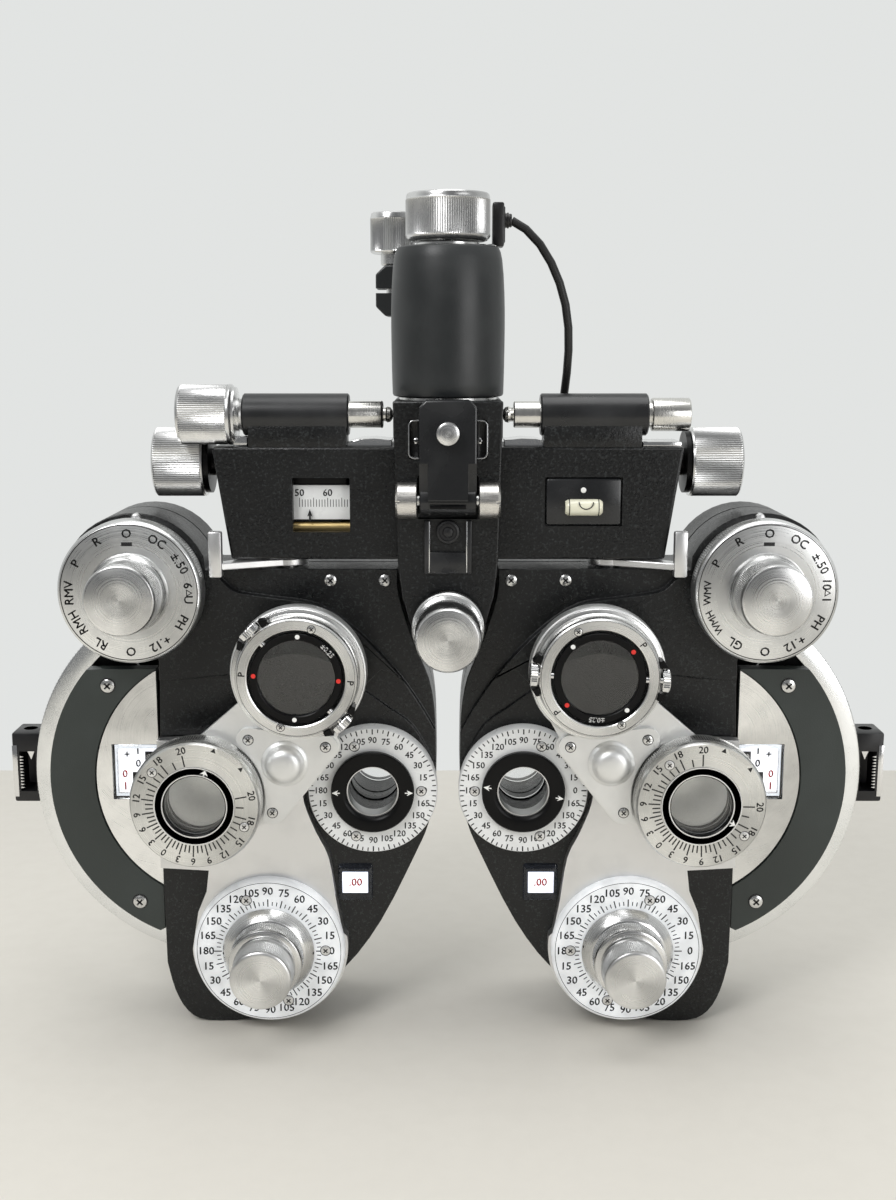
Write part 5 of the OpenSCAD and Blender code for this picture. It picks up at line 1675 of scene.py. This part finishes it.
@dataclass
class Turret(Side):
    """Swinging arm that carries the cross cylinder and the rotary prism."""

    text_turn: float
    arrow: float
    zero: float
    pivot: Point = (-57, -163.3)

    def build(self) -> None:
        """Builds the arm and both lens units."""
        self.jcc = self.centre("jcc_ring")
        self.prism = self.centre("prism_ring")
        self.arm = self.node("turret_arm")
        axis = next(joint["axis"] for joint in frame["joints"] if joint["name"] == self.node("jcc_flip"))
        self.flip_clock = math.degrees(math.atan2(axis[0], axis[2]))
        self._arm()
        self._jcc_ring()
        self._jcc_cell()
        self._prism()

    def _local(self, pairs: Iterable[Point], about: Point) -> list[Point]:
        """Offsets from a point, as absolute millimetre points of the left side."""
        return [(x + about[0], z + about[1]) for x, z in pairs]

    def _arm(self) -> None:
        """Arm plate, pivot plate with its dome and screws, and the rings that hold the units."""
        flip = self.flip
        jcc = (self.jcc.x / MM * flip, self.jcc.z / MM)
        prism = (self.prism.x / MM * flip, self.prism.z / MM)
        outline = (self._local([(-20, -10), (20.6, -9)], jcc) + self._local(arc((14.3, 5.9), 5, 38, -52, 6),
            self.pivot) + self._local(arc((-4.7, -18), 5, -40, -120, 6), self.pivot)
            + self._local([(10, -15), (-4, 18)], prism))
        arm = panel("arm_plate", outline, -16.6, -14, 0, flip)
        bored(arm, self.jcc, 19.7)
        bored(arm, self.prism, 11)
        Bench.soften(arm, 0.5 * MM)
        fit(arm, self.arm, FROST, self.node("turret_arm"))
        base = Bench.turned("jcc_base", level(self.jcc, -14), Axis.FRONT, [(22.8, 0), (23.5, 0.5),
            (23.6, 1), (23.6, 5.4), (23.3, 6.1), (22.6, 6.4), (19.65, 6.4), (19.65, 0)], 128, hollow=True)
        fit(base, self.arm, FROST)
        disc = Bench.turned("prism_base", level(self.prism, -14), Axis.FRONT,
            [(20, 0), (20, 2.3), (19.7, 2.55), (13.95, 2.55), (13.95, 13.6), (11, 13.6), (11, 0)], 96,
            hollow=True)
        fit(disc, self.arm, FROST)
        lobes = [(-12.6, 8.5), (14.3, 5.9), (-4.7, -18)]
        plate_edge = (arc(lobes[1], 4.2, 110, -45, 8) + arc(lobes[2], 4.2, -35, -165, 8) + arc(lobes[0],
            4.2, 200, 85, 8))
        cap = panel("pivot_plate", self._local(plate_edge, self.pivot), -18.6, -16.4, 0, flip)
        bored_prism = Bench.turned("prism_clear", Vector((self.prism.x, FACE, self.prism.z)), Axis.FRONT,
            [(23.5, 0), (23.5, 40)], 96)
        Bench.carve(cap, bored_prism)
        Bench.soften(cap, 0.45 * MM)
        fit(cap, self.arm, FROST)
        centre = self.place(self.pivot[0], -18.4, self.pivot[1])
        dome = Bench.turned("pivot_dome", centre, Axis.FRONT, [(8.2, 0), (8.2, 0.4), (7.8, 0.8), (7.2, 1),
            (6.8, 1.4), (6.5, 2.2), (6, 3.4), (5, 4.4), (3.4, 4.9), (1, 5)], 72)
        fit(dome, self.arm, FROST)
        hub = Bench.turned("pivot_pin", centre, Axis.BACK, [(5, 3.4), (5, 23.9)], 40)
        fit(hub, self.arm, STEEL)
        places = [self.place(self.pivot[0] + x, -18.6, self.pivot[1] + z) for x, z in lobes]
        screws("arm_screws", 1.75, 0.55, places, self.arm, STEEL)

    def _jcc_ring(self) -> None:
        """Turning ring of the cross cylinder, with slots for the flip wheels."""
        body = self.node("jcc_ring")
        face = self.jcc
        ring = Bench.turned("jcc_ring_disc", level(face, -14.2), Axis.FRONT, [(19.55, 0), (19.55, 6.45),
            (22.6, 6.5), (22.9, 6.7), (22.7, 7), (21.5, 7.3), (21, 8), (20.9, 8.6), (20.9, 12.2),
            (20.7, 12.9), (20.1, 13.4), (17.2, 13.4), (16.75, 13.1), (16.75, 0)], 128, hollow=True)
        for turn in (0, 180):
            angle = math.radians(self.flip_clock + turn)
            seat = clock(level(face, -26), 22.3, self.flip_clock + turn)
            Bench.clear()
            bpy.ops.mesh.primitive_cube_add(size=1.0, location=seat, rotation=(0, angle, 0),
                scale=(8.4 * MM, 8.4 * MM, 3.6 * MM))
            Bench.carve(ring, Bench.start("wheel_slot"))
            middle = level(face, -27.5)
            spans = [(sign * edge, radius) for sign in (-1, 1) for edge, radius in ((11.5, 23.6),
                (19, 22.4), (19, 21), (11.5, 20.9))]
            for sign in (-1, 1):
                corners = [clock(middle, radius, self.flip_clock + turn + edge) for edge, radius in spans
                    if edge * sign > 0]
                lug = Bench.prism("wheel_lug", corners, Vector((0, 5.5 * MM, 0)), 0.2 * MM)
                fit(lug, body, BLACK_ANODISE)
        Bench.soften(ring, 0.12 * MM)
        metal = TurnedMetal(slot="satin_aluminium", centre=tuple(face), colour=(0.84, 0.84, 0.83), rough=0.28)
        fit(ring, body, metal, self.node("jcc_ring"))
        top = moved(face, -0.01)
        groove = Bench.turned("jcc_line", top, Axis.BACK, [(20.1, 0), (19.95, 0), (19.95, 0.1),
            (20.1, 0.1)], 128, hollow=True)
        letters = Bench.lettering("jcc_letters", [("P", clock(top, 18.4, self.flip_clock + turn), 2.2 * MM,
            self.flip_clock + turn) for turn in (138.5, 318.5)])
        fit(Bench.join("jcc_marks", [groove, letters]), body, INK)
        places = [clock(top, 17.9, self.flip_clock + turn) for turn in (62, 242)]
        screws("jcc_screws", 1.35, 0.3, places, body, STEEL)

    def _jcc_cell(self) -> None:
        """Flipping cell with its lens, dots and thumb wheels."""
        body = self.node("jcc_cell")
        middle = level(self.jcc, -26)
        front = moved(middle, -1.5)
        cell = Bench.turned("jcc_cell_disc", moved(middle, 1.5), Axis.FRONT, [(15.4, 0), (15.7, 0.3),
            (15.7, 2.7), (15.4, 3), (13.5, 3), (13.2, 2.8), (13.2, 0.2), (13.5, 0)], 96, hollow=True)
        fit(cell, body, BLACK_ANODISE, self.node("jcc_cell"))
        lens = Bench.turned("jcc_lens", moved(middle, 0.9), Axis.FRONT, [(13.15, 0), (13.15, 1.4),
            (11, 1.65), (7, 1.8), (1, 1.85)], 72)
        fit(lens, body, GLASS)
        for finish, turns in ((WHITE_INK, (47, 227)), (RED_INK, (137.5, 317.5))):
            for side_of, along in ((Axis.FRONT, -1.5), (Axis.BACK, 1.5)):
                dots = [Bench.turned("dot", clock(moved(middle, along), 14.45, self.flip_clock + turn),
                    side_of, [(0.85, -0.3), (0.8, 0.04), (0.5, 0.1)], 20) for turn in turns]
                fit(Bench.join("jcc_dots", dots), body, finish)
        turn = self.flip_clock + self.text_turn
        label = Bench.lettering("jcc_power", [("±0.25", clock(front, 14.4, turn), 1.6 * MM, turn)])
        fit(label, body, WHITE_INK)
        self._wheels(middle, body)

    def _wheels(self, middle: Vector, body: str) -> None:
        """Knurled thumb wheels on the flip pins."""
        wheel = Bench.turned("flip_wheel", ORIGIN, Axis.UP, [(1.2, 15.2), (1.2, 21.1), (3.6, 21.1),
            (3.9, 21.4), (3.9, 23.4), (3.6, 23.7), (0.6, 23.7)], knurl=Knurl(30, 21.3, 23.5, 0.22))
        turns = [Matrix.Translation(middle) @ Matrix.Rotation(math.radians(self.flip_clock + half), 4, "Y")
            for half in (0, 180)]
        fit(Bench.copies("flip_wheels", wheel, turns), body, POLISHED)

    def _prism(self) -> None:
        """Rotary prism: dial with its scale, black ring, arrow and lens."""
        body = self.node("prism_ring")
        face = self.prism
        dial = Bench.turned("prism_dial", level(face, -16.9), Axis.FRONT, [(22.2, 0), (22.8, 0.4),
            (22.9, 0.9), (22.9, 1.2), (22.9, 7.4), (22.9, 7.8), (22.6, 8.8), (22.3, 9.6), (21.9, 10.2),
            (18, 10.2), (14.05, 10.2), (14.05, 0)], hollow=True, knurl=Knurl(170, 1.1, 7.5, 0.25))
        metal = TurnedMetal(slot="satin_aluminium", centre=tuple(face), colour=(0.82, 0.82, 0.8), rough=0.3)
        fit(dial, body, metal, self.node("prism_ring"))
        top = moved(face, -0.01)
        marks, labels = [], []
        steps = {0: 0, 3: 15.5, 6: 31, 9: 47, 12: 64, 15: 84, 18: 109, 20: 134.5}
        known = sorted(steps)
        for value in range(21):
            below = max(number for number in known if number <= value)
            above = min(number for number in known if number >= value)
            share = 0 if above == below else (value - below) / (above - below)
            turn = steps[below] + share * (steps[above] - steps[below])
            for sign in ((1, -1) if value else (1,)):
                angle = self.zero + sign * turn
                outer = 18.4 if value in steps else 17
                marks.append(Bench.ticks("mark", top, 14.3, outer, 0.48, angle, 0, 1))
                if value in steps:
                    labels.append((str(value), clock(top, 20, angle), 2.3 * MM, angle))
        fit(Bench.join("prism_marks", marks), body, INK)
        fit(Bench.lettering("prism_figures", labels), body, INK)
        patch = [clock(top, 22.3, angle) for angle in range(22, 50, 3)]
        chord = [clock(top, 20.6, angle) for angle in (45, 40, 35, 30, 26)]
        fit(Bench.prism("prism_pinion", patch + chord, Vector((0, 0.06 * MM, 0))), body, STEEL)
        pointers = []
        for angle in (20, 51):
            head = [clock(top, 20.4, angle - 2.6), clock(top, 22, angle), clock(top, 20.4, angle + 2.6)]
            pointers.append(Bench.prism("pointer", head, Vector((0, 0.06 * MM, 0))))
        fit(Bench.join("prism_pointers", pointers), body, INK)
        places = [clock(top, 18.6, self.zero + turn) for turn in (96.5, -100)]
        screws("prism_screws", 1.6, 0.3, places, body, SATIN)
        self._prism_tube()

    def _prism_tube(self) -> None:
        """Black ring round the prisms, its arrow, and the glass inside."""
        face = self.prism
        ring = Bench.turned("prism_black", level(face, -26.8), Axis.FRONT, [(13.9, 0), (13.9, 0.5),
            (13.6, 0.8), (11.4, 0.8), (10.6, 0.2), (10.6, -11), (10.98, -11), (10.98, 0)], 96, hollow=True)
        fit(ring, self.arm, BLACK_ANODISE)
        tip = level(face, -27.62)
        head = [clock(tip, 13.6, self.arrow), clock(tip, 11.9, self.arrow + 7),
            clock(tip, 12.3, self.arrow), clock(tip, 11.9, self.arrow - 7)]
        stem = Bench.ticks("arrow_stem", tip, 11.5, 12.6, 0.45, self.arrow, 0, 1)
        fit(Bench.join("prism_arrow", [Bench.prism("arrow", head, Vector((0, 0.05 * MM, 0))), stem]),
            self.arm, WHITE_INK)
        for start, rise in ((-24, 1.4), (-18.5, 1.2)):
            glass = Bench.turned("prism_glass", level(face, start), Axis.FRONT, [(10.55, 0), (10.55, rise),
                (6, rise + 0.15), (1, rise + 0.2)], 64)
            fit(glass, self.arm, GLASS)


@dataclass
class Studio:
    """Camera, table and lights."""

    floor_z: float = CAD_BOX[0][2]

    def camera(self) -> None:
        """Camera in front of the head and a little above the dials."""
        bpy.ops.object.camera_add(location=(0, -0.539, -0.0189), rotation=(math.radians(79.6), 0, 0))
        camera = bpy.context.object
        camera.name = "front_camera"
        camera.data.lens, camera.data.sensor_width = 42, 36
        camera.data.clip_start = 0.01
        bpy.context.scene.camera = camera

    def table(self) -> None:
        """Pale table top behind and under the head."""
        top = Bench.slab("table_top", (-2.2, -1.2, self.floor_z - 0.03), (2.2, 0.265, self.floor_z), 1.5 * MM)
        TABLE.dress(top)

    def lights(self) -> None:
        """Large soft lights in a room that is pale beyond the head and darker behind the camera."""
        scene = bpy.context.scene
        scene.view_settings.view_transform = "Standard"
        scene.world = bpy.data.worlds.new("surround")
        scene.world.use_nodes = True
        graph = Graph(scene.world.node_tree, "Background")
        raw = graph.node("ShaderNodeTexCoord", {}, {}, "Generated")
        depth = graph.node("ShaderNodeVectorMath", {"operation": "DOT_PRODUCT"}, {0: raw, 1: (0, 1, 0.35)},
            "Value")
        graph.set(Color=graph.blend(depth.span(-0.5, 0.35), (0.18, 0.184, 0.188), (0.76, 0.775, 0.765)),
            Strength=1.0)
        for name, place, size, power in (("key", (-0.55, -0.85, 0.75), 0.5, 7.5), ("fill", (0.8, -0.9, 0.1),
                0.6, 3.6), ("top", (0.1, -0.1, 1.0), 0.8, 5.0)):
            Bench.clear()
            aim = (Vector((0, 0, -0.12)) - Vector(place)).to_track_quat("-Z", "Y").to_euler()
            bpy.ops.object.light_add(type="AREA", location=place, rotation=aim)
            light = bpy.context.object
            light.name, light.data.size, light.data.energy = f"{name}_light", size, power


def main() -> None:
    """Builds the camera and cable, then every assembly, and finishes."""
    logging.basicConfig(level=logging.INFO, format="%(name)s: %(message)s")
    studio = Studio()
    studio.camera()
    LampCable().build()
    Stem().build()
    Yoke().build()
    RodHolder().build()
    ForeheadRest().build()
    Bar().build()
    for name, flip, lean, text_turn, arrow, zero in (("left", 1, 0.0, 92.5, 18.0, 213.9),
            ("right", -1, -8.7, 271.0, 120.0, 225.5)):
        Battery(name, flip).build()
        AuxDial(name, flip).build()
        AxisDial(name, flip, lean).build()
        CylinderControls(name, flip, lean).build()
        Turret(name, flip, text_turn, arrow, zero).build()
    for node, finish in (("stem_spindle", STEEL), ("guide_rod", BRASS)):
        finish.dress(frame["nodes"][node])
    studio.table()
    studio.lights()


if __name__ == "__main__":
    main()
